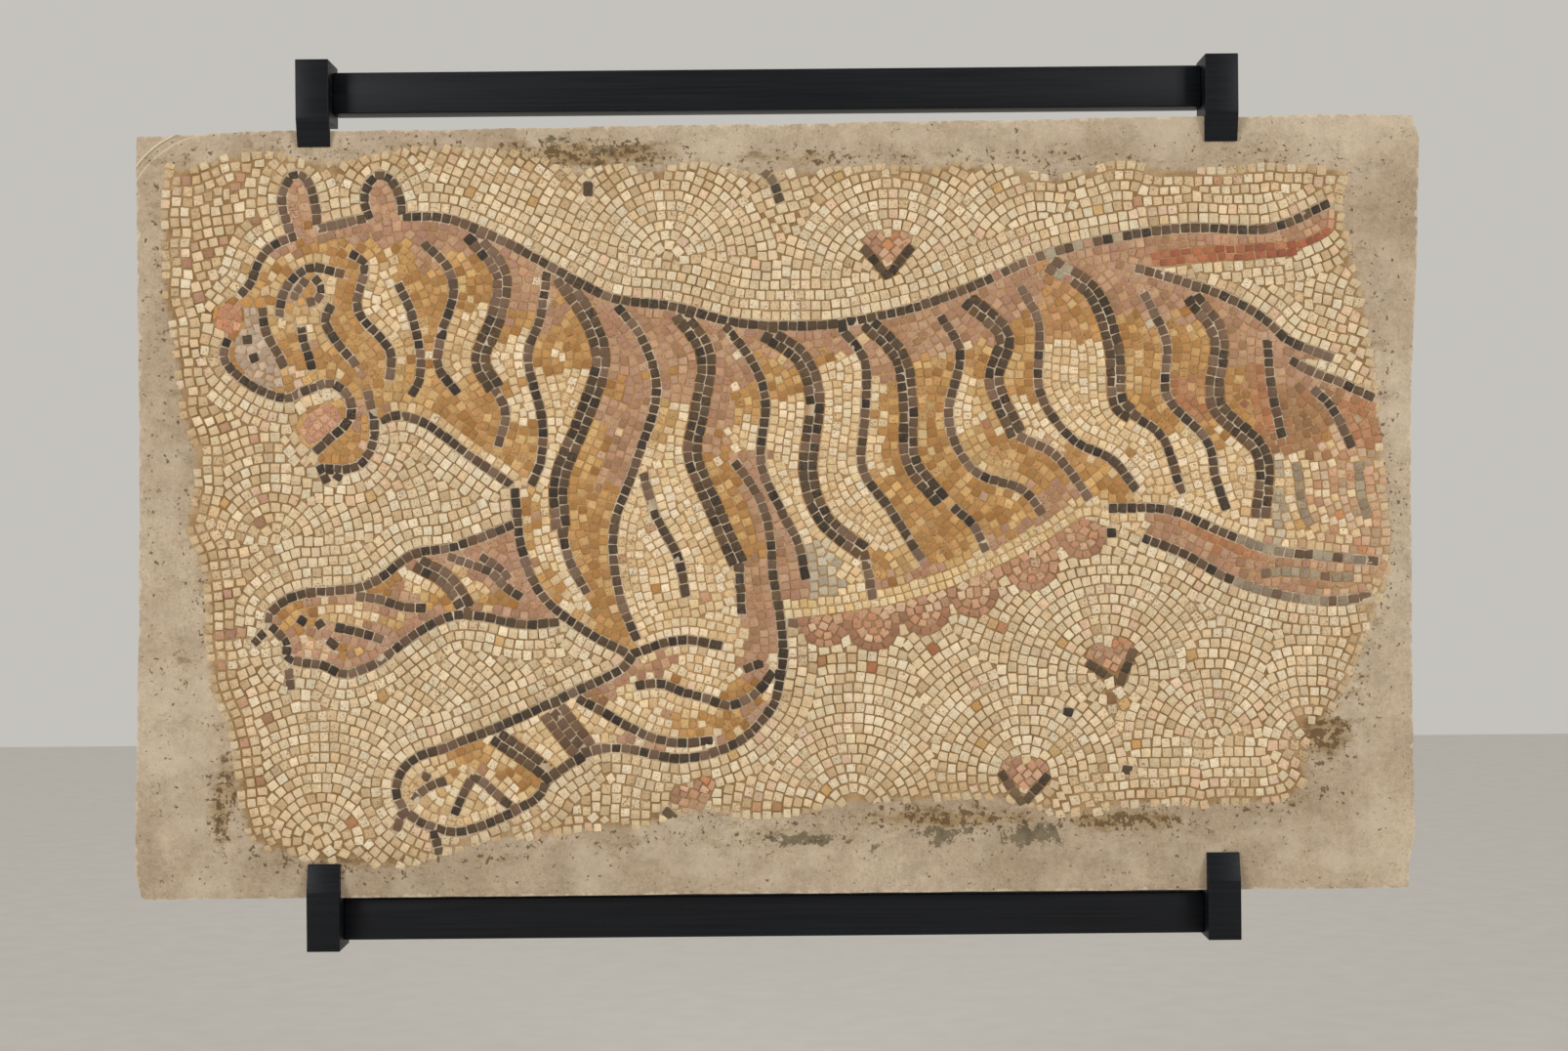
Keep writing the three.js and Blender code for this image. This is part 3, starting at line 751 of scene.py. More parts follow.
# The colours that the stones of each colour name are picked from.
PALETTE = {
    "cream": ["#d9c29e", "#dfcaa8", "#d4bb96", "#e2d0b0", "#cfb690", "#dac6a3", "#d6c09b"],
    "dull_and_shaded": ["#cdb28b", "#c5aa83", "#d1b892", "#bfa37c", "#d3ba96"],
    "salmon": ["#dabb9b", "#d6b594", "#dec2a3", "#d2b195"],
    "body": ["#e2c9a1", "#e6d0ac", "#dabd92", "#e9d5b4", "#d6b78a", "#dec497"],
    "straw": ["#c9a570", "#c09a64", "#d0b07e", "#bb9560", "#c6a36e"],
    "straw_rows": ["#dec191", "#e2c99f", "#d7b983", "#dec69e"],
    "ochre": ["#b98a50", "#ab7b43", "#c39559", "#a1703a", "#c9a066", "#b3834b", "#bd8f5a",
              "#a97c46", "#cfa970"],
    "tan": ["#c09062", "#b58556", "#c89b6d", "#ac7b50"],
    "mauve": ["#b48c6f", "#a97e63", "#be987a", "#b38a71", "#9f785c", "#bb9274", "#ab8069"],
    "russet": ["#ae7450", "#a36a48", "#b7825e", "#a97854"],
    "umber": ["#967050", "#8a6445", "#a27a58", "#a37350"],
    "worn": ["#c4a182", "#ceb392", "#b99777", "#caaa88", "#ae9276", "#d2b896", "#c79a7a"],
    "pale": ["#c2b59c", "#b7aa91", "#ccbfa6", "#ada08a"],
    "ear": ["#bd9274", "#b5896b", "#c49d7e"],
    "rose": ["#c99b7b", "#bf8f70", "#d0a688", "#c29174", "#b1886d", "#c6875f"],
    "tongue": ["#cd9a7c", "#c68d70", "#d09e80", "#b9856c"],
    "red": ["#a56044", "#9b583f", "#b06c4c", "#92513b", "#ba7c5a"],
    "fringe": ["#c79a79", "#c19172", "#d0a888", "#bb8c6e", "#d8b898", "#c08a6a"],
    "fringe_rim": ["#ab7d61", "#a07257", "#b5896c", "#986b52"],
    "face": ["#d3b488", "#c9aa7c", "#dbc096", "#c5a474"],
    "nose": ["#cb906e", "#c48666", "#d29a7a", "#bd8062"],
    "muzzle": ["#c0a68e", "#b49b84", "#c9b099", "#ac937c"],
    "dark": ["#514132", "#463a2e", "#5c4937", "#40382f", "#65503c", "#4c3f32", "#544637", "#39312a"],
    "brown": ["#6f5745", "#7a6250", "#624d3d", "#6a5342", "#77604e"],
    "faded": ["#998a75", "#8a7c69", "#a6987f", "#948470"],
}

# Bands of the coat between one stripe and the next, from the head to the tail: the lowest height
# of each colour, and the colours of the band's left and right parts.
COAT = [
    [],  # the face has areas of its own
    [(258, "mauve"), (247, "ochre"), (172, "body"), (145, "body", "straw"), (-400, "straw", "ochre")],
    [(262, "mauve"), (232, "ochre", "mauve"), (184, "ochre"), (150, "body", "ochre"), (-400, "ochre")],
    [(248, "mauve"), (196, "ochre"), (128, "body"), (-400, "ochre")],
    [(196, "mauve"), (172, "ochre"), (126, "body"), (112, "ochre", "body"), (90, "body"), (-400, "ochre")],
    [(205, "mauve"), (172, "mauve", "ochre"), (136, "ochre"), (-60, "body"), (-400, "ochre", "body")],
    [(128, "mauve"), (106, "ochre", "mauve"), (82, "mauve"), (22, "ochre", "mauve"), (-400, "ochre")],
    [(108, "mauve"), (62, "straw", "body"), (-400, "body")],
    [(118, "mauve"), (86, "mauve", "ochre"), (52, "mauve", "body"), (-48, "ochre", "mauve"),
     (-400, "mauve")],
    [(146, "mauve"), (112, "ochre"), (-30, "body"), (-400, "pale", "body")],
    [(150, "mauve"), (138, "ochre", "body"), (-42, "body"), (-72, "ochre", "straw"), (-400, "mauve")],
    [(128, "mauve"), (30, "body", "ochre"), (-58, "ochre"), (-400, "mauve")],
    [(142, "mauve"), (102, "ochre"), (52, "straw", "ochre"), (-14, "ochre"), (-30, "ochre", "mauve"),
     (-400, "mauve")],
    [(156, "mauve"), (126, "ochre"), (72, "body", "straw"), (24, "straw", "ochre"), (-400, "mauve")],
    [(180, "mauve"), (152, "ochre"), (108, "straw", "ochre"), (56, "body"), (-400, "ochre")],
    [(204, "mauve", "tan"), (160, "tan", "ochre"), (-400, "body")],
    [(188, "mauve"), (152, "ochre"), (106, "straw", "ochre"), (76, "ochre"), (-400, "body")],
    [(182, "mauve"), (128, "ochre"), (78, "russet", "tan"), (56, "ochre", "body"), (-400, "body")],
    [(134, "mauve"), (72, "ochre", "russet"), (48, "umber"), (-400, "body", "pale")],
    [(112, "mauve", "umber"), (50, "umber", "russet"), (-400, "body", "worn")],
]

# Areas of the head and legs: colour, middle, half width, half height, turn in degrees.
HEAD_AREAS = [
    ("mauve", (-420, 275), 46, 9, 8), ("mauve", (-480, 253), 24, 6, 38), ("face", (-452, 249), 30, 8, 12),
    ("face", (-437, 214), 10, 24, 0), ("face", (-458, 190), 24, 14, 0), ("face", (-440, 168), 14, 13, 0),
    ("face", (-492, 218), 6, 24, -6), ("straw", (-486, 176), 7, 20, 12), ("mauve", (-505, 196), 9, 8, 0),
    ("salmon", (-470, 130), 12, 8, 0), ("ear", (-465, 300), 14, 28, 0),
    ("ear", (-383, 305), 16, 26, 0), ("ochre", (-382, 290), 7, 22, 0), ("mauve", (-405, 102), 8, 22, 0),
    ("ochre", (-418, 62), 18, 16, 0), ("mauve", (-400, 56), 9, 14, 0),
]
FAR_LEG_AREAS = [
    ("body", (-352, -67), 30, 12, -18), ("body", (-415, -99), 40, 9, -12), ("body", (-298, -74), 32, 8, -42),
    ("ochre", (-384, -70), 15, 10, 0), ("ochre", (-333, -86), 13, 9, 0), ("ochre", (-470, -103), 15, 14, 0),
    ("straw", (-372, -108), 20, 9, -15), ("salmon", (-452, -128), 22, 12, 0),
    ("ochre", (-418, -135), 20, 9, 0), ("ochre", (-268, -86), 22, 8, -15), ("pale", (-314, -90), 8, 10, 0),
]
NEAR_LEG_AREAS = [
    ("ochre", (-300, -240), 24, 10, 15), ("ochre", (-250, -264), 24, 9, -35),
    ("mauve", (-122, -150), 24, 13, 0), ("ochre", (-66, -209), 46, 10, 8),
    ("ochre", (-36, -178), 22, 15, 0), ("mauve", (-20, -206), 14, 22, -35),
    ("mauve", (-160, -166), 26, 9, 28), ("umber", (-178, -182), 20, 8, 0), ("mauve", (-20, -140), 16, 30, 0),
    ("mauve", (-105, -226), 60, 5, 0),
]
UPPER_FORELEG = [(-150, -150), (-110, -134), (-60, -138), (-30, -150), (0, -150), (0, -250), (-150, -250)]
RED_END = [(508, 249), (530, 254), (548, 261)]  # red stones run on past the tail's own red patch


def on_stripe(stripe, v):
    """Where a stripe is at the heights v."""
    p = np.array([point for _, _, points in stripe for point in points][::-1], float)
    return np.interp(v, p[:, 1], p[:, 0])


def paint_ovals(names, p, mask, ovals):
    """Names the colours of the stones that lie in ovals, within the mask."""
    for colour, middle, wide, high, turn in ovals:
        names[mask & in_oval(p, middle, wide, high, turn)] = colour


def coat_colours(p, rng):
    """The colour name of every stone of the cat, from its place p. Most bounds between colours
    are blurred by a few millimetres."""
    q = p + rng.normal(0, 3.6, p.shape)
    names = np.full(len(p), "ochre", dtype=object)
    at = np.array([on_stripe(stripe, q[:, 1]) for stripe in STRIPES])
    between = (at < q[:, 0]).sum(0)
    at = np.vstack([np.full(len(p), -500.0), at, np.full(len(p), 600.0)])
    for k, column in enumerate(COAT):
        left, right = at[k], at[k + 1]
        split = (q[:, 0] - left) / np.maximum(right - left, 1) > 0.5
        done = between != k
        for low, *colours in column:
            here = ~done & (q[:, 1] >= low)
            names[here & ~split] = colours[0]
            names[here & split] = colours[-1]
            done |= here
    paint_ovals(names, q, between == 0, HEAD_AREAS)
    far_leg = p[:, 0] < np.interp(p[:, 1], [-143, -117, -83, -40, 22], [-142, -190, -230, -249, -256])
    far_leg &= (p[:, 1] < -12) & (p[:, 1] > -165)
    near_leg = (p[:, 1] < -140) & ~far_leg | inside(UPPER_FORELEG, p[:, 0], p[:, 1])
    for mask, colour, areas in ((far_leg, "mauve", FAR_LEG_AREAS), (near_leg, "body", NEAR_LEG_AREAS)):
        names[mask] = colour
        paint_ovals(names, q, mask, areas)
    for line, near, start, colour in ((NECK, 15, -385, "body"), (BELLY, 19, 8, "straw_rows")):
        names[(nearest(p, drawn(line, 4))[0] < near) & (p[:, 0] > start)] = colour
    tail = (p[:, 0] > 345) & (p[:, 1] > 228)
    names[tail] = "mauve"
    names[tail & (p[:, 0] > 535)] = "rose"
    names[tail & (nearest(p, drawn(RED_END, 3))[0] < 8)] = "red"
    paint_ovals(names, p, tail, [("rose", (430, 256), 14, 8, 0)])
    leg_top = np.interp(p[:, 0], [322, 380, 430, 480, 530, 600], [-3, -5, -26, -45, -51, -60])
    hind = (p[:, 0] > 326) & (p[:, 1] < leg_top)
    names[hind] = "mauve"
    names[hind & (p[:, 0] < 362)] = "body"
    paint_ovals(names, p, hind, [("russet", (428, -36), 42, 8, -24)])
    names[hind & (p[:, 0] > 545)] = "worn"
    return names


def ground_colours(p, far_in, rng):
    """The colour name of every stone of the ground: mostly cream, duller towards the ragged edge and where
    grime has gathered, with a blush of pink in places.
    Duller stones towards the left are painted shade, and more pink ones towards the right are painted light."""
    names = np.full(len(p), "cream", dtype=object)
    r = rng.random(len(p))
    grime = Cloud(21, 120, 4)(p[:, 0], p[:, 1])
    # duller near the ragged edge from dirt, and duller towards the left as painted shade
    dull_and_shaded = 0.03 + 0.5 * fade(far_in, 45) + 0.35 * rise(p[:, 0], -430, -130)
    names[r < dull_and_shaded + 0.8 * np.clip(grime - 0.55, 0, 1)] = "dull_and_shaded"
    pink_and_painted_light = np.clip((Cloud(22, 90)(p[:, 0], p[:, 1]) - 0.56) * 1.8, 0, 0.4) + 0.02
    # the pink share rising towards the right is painted light
    pink_and_painted_light = pink_and_painted_light + 0.12 * rise(p[:, 0], 150, 350)
    names[rng.random(len(p)) < pink_and_painted_light * 0.6] = "salmon"
    names[rng.random(len(p)) < 0.006] = "straw"
    names[(rng.random(len(p)) < 0.05) & (p[:, 0] < -490)] = "mauve"
    return names


def name_colours(p, kinds, shades, far_in, rng):
    """The colour name of every stone, from its place, its area and how far inside the field it is."""
    u, v = p.T
    ground, coat, line = kinds == GROUND, kinds == CAT, kinds == LINE
    names = np.full(len(kinds), "cream", dtype=object)
    names[ground] = ground_colours(p[ground], far_in[ground], rng)
    names[coat] = coat_colours(p[coat], rng)
    names[line] = shades[line]
    for value, (_, _, colour) in enumerate(AREAS):
        if colour:
            names[kinds == value] = colour
    for x, z, size in FRINGE_LOBES:
        near = from_spot(p, x, z)
        names[(kinds == FRINGE) & (near > size - 8) & (near < size + 6) & (v < z + 2)] = "fringe_rim"

    def mixed(where, colours):
        """Draws the colours anew where where holds."""
        names[where] = rng.choice(colours, where.sum())

    # stretches of the dark lines are brown
    swap = rng.random(len(names))
    names[line & (names == "dark") & (Cloud(41, 34, 2)(u, v) + swap * 0.3 > 0.76)] = "brown"
    # strays of another colour in the coat
    stray = coat & (swap < 0.025)
    names[stray] = rng.permutation(names[coat])[:stray.sum()]
    # the cream of the head and neck is mixed with darker straw
    names[coat & (names == "body") & (u < -290) & (rng.random(len(names)) < 0.45)] = "face"
    # the coat is worn to a mottle of pale stones at the broken end
    wear = np.clip((u - 495) / 70, 0, 0.9) * rise(v, 95, -50)
    mixed(coat & (rng.random(len(names)) < wear), ["worn", "worn", "worn", "body", "salmon", "rose"])
    # the line along the root of the tail is patched with browner and paler stones
    mixed(line & (np.abs(u - 275) < 62) & (v > 219), ["brown", "brown", "mauve", "faded", "dark"])
    # the hind leg's lines fade towards the broken end
    mixed(line & (u > 448) & (v < -20), ["faded", "faded", "brown"])
    for x, z, colour in ODD_STONES:
        names[(from_spot(p, x, z) + 1e3 * ~ground).argmin()] = colour
    # one cheek of each rosebud is browner
    bud = (kinds >= FIRST_BUD) & (kinds < LINE)
    for middle, turn, _ in ROSEBUDS:
        a = math.radians(turn)
        across = (p - middle) @ np.array([math.cos(a), math.sin(a)])
        names[bud & (np.abs(across) < 26) & (across < -7) & (np.abs(v - middle[1]) < 30)] = "mauve"
    return names


def pick_colours(names, rng):
    """A linear colour for each stone from its colour name, a little lighter, darker or warmer."""
    rgb = np.zeros((len(names), 3))
    for i, name in enumerate(names):
        choices = PALETTE[name]
        rgb[i] = linear(choices[rng.integers(len(choices))])
    shade = np.exp(rng.normal(0, 0.05, len(names)))[:, None]
    warm = rng.normal(0, 0.02, len(names))[:, None] * np.array([[1, 0, -1]])
    return np.clip(rgb * shade * (1 + warm), 0.001, 0.95)


def linear(code):
    """sRGB hex to linear values."""
    parts = [int(code[i:i + 2], 16) / 255 for i in (1, 3, 5)]
    return [c / 12.92 if c <= 0.04045 else ((c + 0.055) / 1.055) ** 2.4 for c in parts]


# ---------------------------------------------------------------- making the pieces


def place_x(u):
    """A place across the picture, in the row frame's metres."""
    return (u + PICTURE_X) * MM


def place_z(v):
    """A height in the picture, in the row frame's metres."""
    return (v + PICTURE_Z) * MM


def select_only(obj):
    """Selects one object alone and makes it the active one."""
    bpy.ops.object.select_all(action="DESELECT")
    obj.select_set(True)
    bpy.context.view_layer.objects.active = obj


def begun(name, add, scale=(1, 1, 1), **settings):
    """A primitive added with nothing else selected, its place put in its mesh."""
    bpy.ops.object.select_all(action="DESELECT")
    add(**settings)
    piece = bpy.context.object
    piece.name = name
    piece.scale = scale
    select_only(piece)
    bpy.ops.object.transform_apply(location=True, rotation=True, scale=True)
    return piece


def shape_mode(on=True):
    """Goes into edit mode, where edges are picked, or out of it."""
    bpy.ops.object.mode_set(mode="EDIT" if on else "OBJECT")
    bpy.context.tool_settings.mesh_select_mode = (False, True, False)


def bevel_edges(piece, wanted, width, segments):
    """Bevels the edges for which wanted(first end, second end) holds."""
    bm = bmesh.from_edit_mesh(piece.data)
    for part in list(bm.verts) + list(bm.edges) + list(bm.faces):
        part.select = False
    bm.select_mode = {"EDGE"}
    for edge in bm.edges:
        edge.select = bool(wanted(edge.verts[0].co, edge.verts[1].co))
    bm.select_flush_mode()
    bmesh.update_edit_mesh(piece.data)
    bpy.ops.mesh.bevel(offset=width, segments=segments)


def smooth(piece, degrees):
    """Shades a piece smooth across every edge flatter than so many degrees."""
    select_only(piece)
    bpy.ops.object.shade_smooth_by_angle(angle=math.radians(degrees))


def add_layer(mesh, name, values):
    """Keeps one number for each point of the mesh, for its material to read."""
    layer = mesh.attributes.new(name, "FLOAT", "POINT")
    layer.data.foreach_set("value", values.astype(np.float32))


def dress(piece, material, slot, *nodes):
    """Gives a finished piece its material, and puts it in place of its CAD nodes."""
    piece.data.materials.append(material)
    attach(piece, "root")
    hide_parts(*nodes)


def pattern_stone():
    """One stone, 1 wide, 1 high, its face at y = -1 and its foot at 0: a cube with cut corners and
    a worn arris round the face. Returns its points and faces."""
    stone = begun("stone", bpy.ops.mesh.primitive_cube_add, size=1, location=(0, -0.5, 0))
    shape_mode()
    bevel_edges(stone, lambda a, b: abs(a.y - b.y) > 0.9, 0.09, 1)
    bevel_edges(stone, lambda a, b: a.y < -0.99 and b.y < -0.99, 0.045, 1)
    shape_mode(False)
    points = np.array([v.co for v in stone.data.vertices])
    faces = [list(f.vertices) for f in stone.data.polygons]
    bpy.data.objects.remove(stone)
    return points, faces


STONE_SIZE = 6.0  # height of a stone in millimetres, from its foot to its face


def stone_field(name, corners, colours, stone, rng):
    """One mesh of many copies of the pattern stone, each fitted to its own four corners, a little
    raised or sunk and tilted."""
    points, faces = stone
    count, n = len(corners), len(points)
    x, y, z = points[:, 0] + 0.5, points[:, 1], points[:, 2] + 0.5
    weights = np.stack([(1 - x) * (1 - z), x * (1 - z), x * z, (1 - x) * z], 1)
    flat = np.einsum("nk,skc->snc", weights, corners)
    middle = corners.mean(1)[:, None, :]
    lift = rng.normal(0, 0.16, count)[:, None]
    tilt = rng.normal(0, 0.022, (count, 2))
    slope = (flat[..., 0] - middle[..., 0]) * tilt[:, :1] + (flat[..., 1] - middle[..., 1]) * tilt[:, 1:]
    face = (y < -0.8)[None, :]
    out = -PANEL_FACE + STONE_SIZE * (y[None, :] + 1) - (lift + slope) * face
    co = np.stack([place_x(flat[..., 0]), out * MM, place_z(flat[..., 1])], 2).reshape(-1, 3)
    mesh = bpy.data.meshes.new(name)
    copies = [[corner + k * n for corner in side] for k in range(count) for side in faces]
    mesh.from_pydata(co, [], copies, shade_flat=False)
    tint = mesh.attributes.new("stone_colour", "FLOAT_COLOR", "POINT")
    rgba = np.ones((count, n, 4), np.float32)
    rgba[:, :, :3] = colours[:, None, :]
    tint.data.foreach_set("color", rgba.ravel())
    add_layer(mesh, "arris", np.tile(y > -0.99, count))
    piece = bpy.data.objects.new(name, mesh)
    bpy.context.scene.collection.objects.link(piece)
    return piece


SHEET_STEP = 4.0  # of the slab's face, in millimetres
RIM_LOOPS = (0.08, 0.2, 0.24, 0.24, 0.24)  # shares of the depth between the loops round its sides
CORNER_RADIUS = 3.5
OUTLINE_LEFT, OUTLINE_BOTTOM, OUTLINE_WIDE, OUTLINE_HIGH = -630, -377, 1258, 756
WORN_RIM = 6.0  # how far in from its edges the slab's face is worn


def slab_sheet(low, high):
    """The slab as a fine sheet of its own box, its rim drawn back to the slab's back and closed."""
    wide, depth, tall = (far - near for near, far in zip(low, high))
    columns, rows = int(wide / (SHEET_STEP * MM)), int(tall / (SHEET_STEP * MM))
    slab = begun("cast_slab", bpy.ops.mesh.primitive_grid_add, (wide, tall, 1), size=1,
                 x_subdivisions=columns, y_subdivisions=rows, rotation=(math.pi / 2, 0, 0),
                 location=((low.x + high.x) / 2, low.y, (low.z + high.z) / 2))
    shape_mode()
    bpy.ops.mesh.select_all(action="SELECT")
    bpy.ops.mesh.region_to_loop()
    for share in RIM_LOOPS:
        bpy.ops.mesh.extrude_edges_move(TRANSFORM_OT_translate={"value": (0, depth * share, 0)})
    bpy.ops.mesh.edge_face_add()
    bpy.ops.mesh.select_all(action="SELECT")
    bpy.ops.mesh.normals_make_consistent(inside=False)
    shape_mode(False)
    return slab


def fit_outline(s, t, wide, tall):
    """Pulls the sheet to the slab's worn outline. The shares s and t run across and up it, and each
    height has its own left and right end, each place across its own top and bottom."""
    edge = np.array(SLAB_EDGE, float)
    top, bottom = (np.interp(s, (side[:, 0] - OUTLINE_LEFT) / OUTLINE_WIDE, side[:, 1])
                   for side in (edge[1:9], edge[18:21][::-1]))
    right, left = (np.interp(t, (side[:, 1] - OUTLINE_BOTTOM) / OUTLINE_HIGH, side[:, 0])
                   for side in (edge[9:17][::-1], edge[21:]))
    u = left + (right - left) * s
    v = bottom + (top - bottom) * t
    # broken edges, the upper one most
    ragged = Cloud(37, 46)
    near_side, near_end = (fade(np.minimum(share, 1 - share) * size, 8 * MM)
                           for share, size in ((s, wide), (t, tall)))
    u -= np.sign(s - 0.5) * near_side * np.clip(ragged(u, v) - 0.42, 0, 1) * 2.4
    v -= np.sign(t - 0.5) * near_end * np.clip(ragged(v, u) - 0.42, 0, 1) * np.where(t > 0.5, 3.6, 1.5)
    # rounded corners
    for cx, cz in ((left, top), (right, top), (left, bottom), (right, bottom)):
        sx, sz = np.sign(cx), np.sign(cz)
        a = rise(u * sx, np.abs(cx) - CORNER_RADIUS, CORNER_RADIUS)
        b = rise(v * sz, np.abs(cz) - CORNER_RADIUS, CORNER_RADIUS)
        r = np.maximum(np.hypot(a, b), 1e-6)
        corner = (a > 0) & (b > 0)
        shrink = np.where(corner, np.maximum(a, b) / r, 1.0)
        u = np.where(corner, sx * (np.abs(cx) - CORNER_RADIUS + a * shrink * CORNER_RADIUS), u)
        v = np.where(corner, sz * (np.abs(cz) - CORNER_RADIUS + b * shrink * CORNER_RADIUS), v)
    return u, v


# Where damp and brown dirt have settled in the mortar, and where a grey-green crust still clings:
# middle, half width, half height, strength.
STAINS = [
    (-190, 345, 120, 18, 1.25), (-330, 352, 60, 10, 0.7), (40, 340, 130, 12, 0.75),
    (260, 340, 110, 12, 0.6), (-535, -270, 22, 60, 0.9), (-560, -60, 14, 60, 0.6),
    (-596, 250, 10, 80, 0.5), (-430, -350, 110, 12, 0.5), (170, -303, 120, 14, 1.2),
    (335, -306, 80, 13, 1.3), (0, -318, 130, 14, 0.6), (-150, -325, 60, 12, 0.6),
    (460, -298, 40, 9, 0.7), (590, 120, 12, 60, 0.5), (560, -180, 20, 60, 0.5),
    (592, -20, 12, 60, 0.6), (-600, 345, 14, 12, 0.5), (600, 360, 20, 10, 0.4),
    (-480, 352, 50, 10, 0.7), (470, 345, 60, 8, 0.6), (-580, -150, 12, 40, 0.5),
    (-560, 180, 30, 130, 0.6), (-530, -60, 30, 150, 0.55), (-500, -250, 40, 60, 0.6),
    (-545, -288, 14, 46, 1.2), (-606, 0, 20, 320, 0.25),
    (540, -110, 30, 90, 0.6), (-420, -335, 110, 24, 0.7), (480, -285, 70, 18, 0.7),
    (120, -290, 90, 12, 0.5), (-300, 335, 200, 14, 0.5),
    (530, -224, 30, 30, 1.4), (500, -262, 26, 12, 0.7), (-300, -338, 60, 8, 0.6),
]
CRUSTS = [
    (20, -323, 70, 10, 1.0), (80, -331, 28, 9, 0.9), (158, -318, 46, 16, 1.0),
    (246, -319, 46, 20, 1.1), (-543, -292, 12, 36, 0.6), (-214, 360, 26, 8, 0.9),
    (-165, 350, 30, 8, 0.9), (-395, 362, 40, 6, 0.7), (18, 328, 18, 8, 0.6), (-90, 352, 30, 4, 0.5),
    (420, -318, 16, 5, 0.6), (575, 60, 7, 20, 0.5),
]


def settled(patches, u, v):
    """How much of what the patches name has settled at each place."""
    total = np.zeros(np.shape(u))
    for x, z, wide, high, strength in patches:
        hill = strength * np.exp(-(((u - x) / wide) ** 2 + ((v - z) / high) ** 2) * 1.2)
        total = np.maximum(total, hill)
    return total


def slab_piece():
    """The cast slab: its sheet is fitted to the worn outline, dished under the stones, roughened,
    and broken along its arrises. Its layers say where the joints, lime, damp and crust are."""
    low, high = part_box("mortar_slab")
    wide, tall = high.x - low.x, high.z - low.z
    slab = slab_sheet(low, high)
    mesh = slab.data
    co = np.empty(len(mesh.vertices) * 3, np.float32)
    mesh.vertices.foreach_get("co", co)
    co = co.reshape(-1, 3).astype(float)
    s = (co[:, 0] - low.x) / wide
    t = (co[:, 2] - low.z) / tall
    from_side, from_end = np.minimum(s, 1 - s) * wide, np.minimum(t, 1 - t) * tall
    u, v = fit_outline(s, t, wide, tall)
    front = co[:, 1] < low.y + 1e-5
    rim_wear = fade(np.minimum(from_side, from_end) / MM, WORN_RIM)
    far_in = field_depth(u, v)

    # the face: hills on the border, and a bed of mortar between the stones
    coarse, middle, fine = (cloud(u, v) for cloud in (Cloud(31, 90), Cloud(32, 22), Cloud(33, 7, 2)))
    hills = (coarse - 0.5) * 1.6 + (middle - 0.5) * 1.3 + (fine - 0.5) * 0.7
    # pale lime stands nearly flush between the dark stones, and the coat's joints are full too
    lime = np.zeros(len(u))
    inner = front & (far_in > 4)
    dark_points = np.vstack([drawn(points, 5) for _, shade, points in LINES if shade != FADED])
    far = nearest(np.stack([u, v], 1)[inner], dark_points)[0]
    lime[inner] = np.clip((7.5 - far) / 3.0, 0, 1)
    coat = inside(CAT_EDGE, u, v)
    bed = np.where(coat, 0.6, 0.9) * (1 - lime) + 0.45 * lime + (fine - 0.5) * 0.5
    over = np.clip((far_in - 2.5 + (middle - 0.5) * 10) / 4, 0, 1)
    spill = np.clip((Cloud(35, 30)(u, v) - 0.5) * 5, 0, 1) * fade(far_in, 16) * (far_in > 0)
    down = over * bed * (1 - spill * 1.15) + (1 - over) * (0.1 - hills * 0.55)
    worn = rim_wear ** 2 * (1.0 + 4.0 * np.clip(Cloud(34, 26)(u, v) - 0.55, 0, 1))
    down = np.maximum(down, -0.35) + worn
    down = np.where(np.abs(v) > 345, np.maximum(down, 0.05), down)
    # the sides: rough, a little hollow
    rim = ~front & ~(co[:, 1] > high.y - 1e-5)
    co[:, 0], co[:, 2] = place_x(u), place_z(v)
    co[:, 1] += np.where(front, down * MM, 0)
    deep = (co[:, 1] - low.y) / MM
    dent = (Cloud(36, 16)(u + deep * 2.3, v - deep * 1.7) - 0.35) * 2.2
    side_u = np.where(from_side < 1e-4, np.sign(s - 0.5), 0)
    side_v = np.where(from_end < 1e-4, np.sign(t - 0.5), 0)
    co[:, 0] -= np.where(rim, side_u * np.maximum(dent, 0.1), 0) * MM
    co[:, 2] -= np.where(rim & (side_v > 0), side_v * np.maximum(dent, 0.1), 0) * MM
    co[:, 2] += np.where(rim & (side_v < 0), np.clip(dent * 0.4, 0.02, 0.6), 0) * MM
    mesh.vertices.foreach_set("co", co.ravel().astype(np.float32))
    mesh.update()

    layers = {
        "bed": over * np.clip((far_in - 3) / 5, 0, 1),
        "lime": lime,
        "coat": coat,
        "stain": np.maximum(settled(STAINS, u, v), fade(np.abs(far_in + 4), 18) * 0.45),
        "crust": settled(CRUSTS, u, v),
        "rim": rim_wear,
        "corner": rise(u, -548, -20) * rise(v, 280, 20),
    }
    for name, values in layers.items():
        add_layer(mesh, name, values * front)
    smooth(slab, 50)
    return slab


BAR_ARRIS, CLIP_ARRIS = 1.0 * MM, 0.7 * MM


def bar_piece(name, node):
    """A flat black bar: a cube sized to the rail, its edges rounded."""
    low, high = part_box(node)
    bar = begun(name, bpy.ops.mesh.primitive_cube_add, high - low, size=1, location=(low + high) / 2)
    shape_mode()
    bevel_edges(bar, lambda a, b: True, BAR_ARRIS, 3)
    shape_mode(False)
    smooth(bar, 30)
    return bar


CLIP_FACE, CLIP_REACH = 57 * MM, 84 * MM  # height of its flat face, and up to its lip's tip
LIP_TIP = 1.5  # thickness of the lip where it ends on the panel


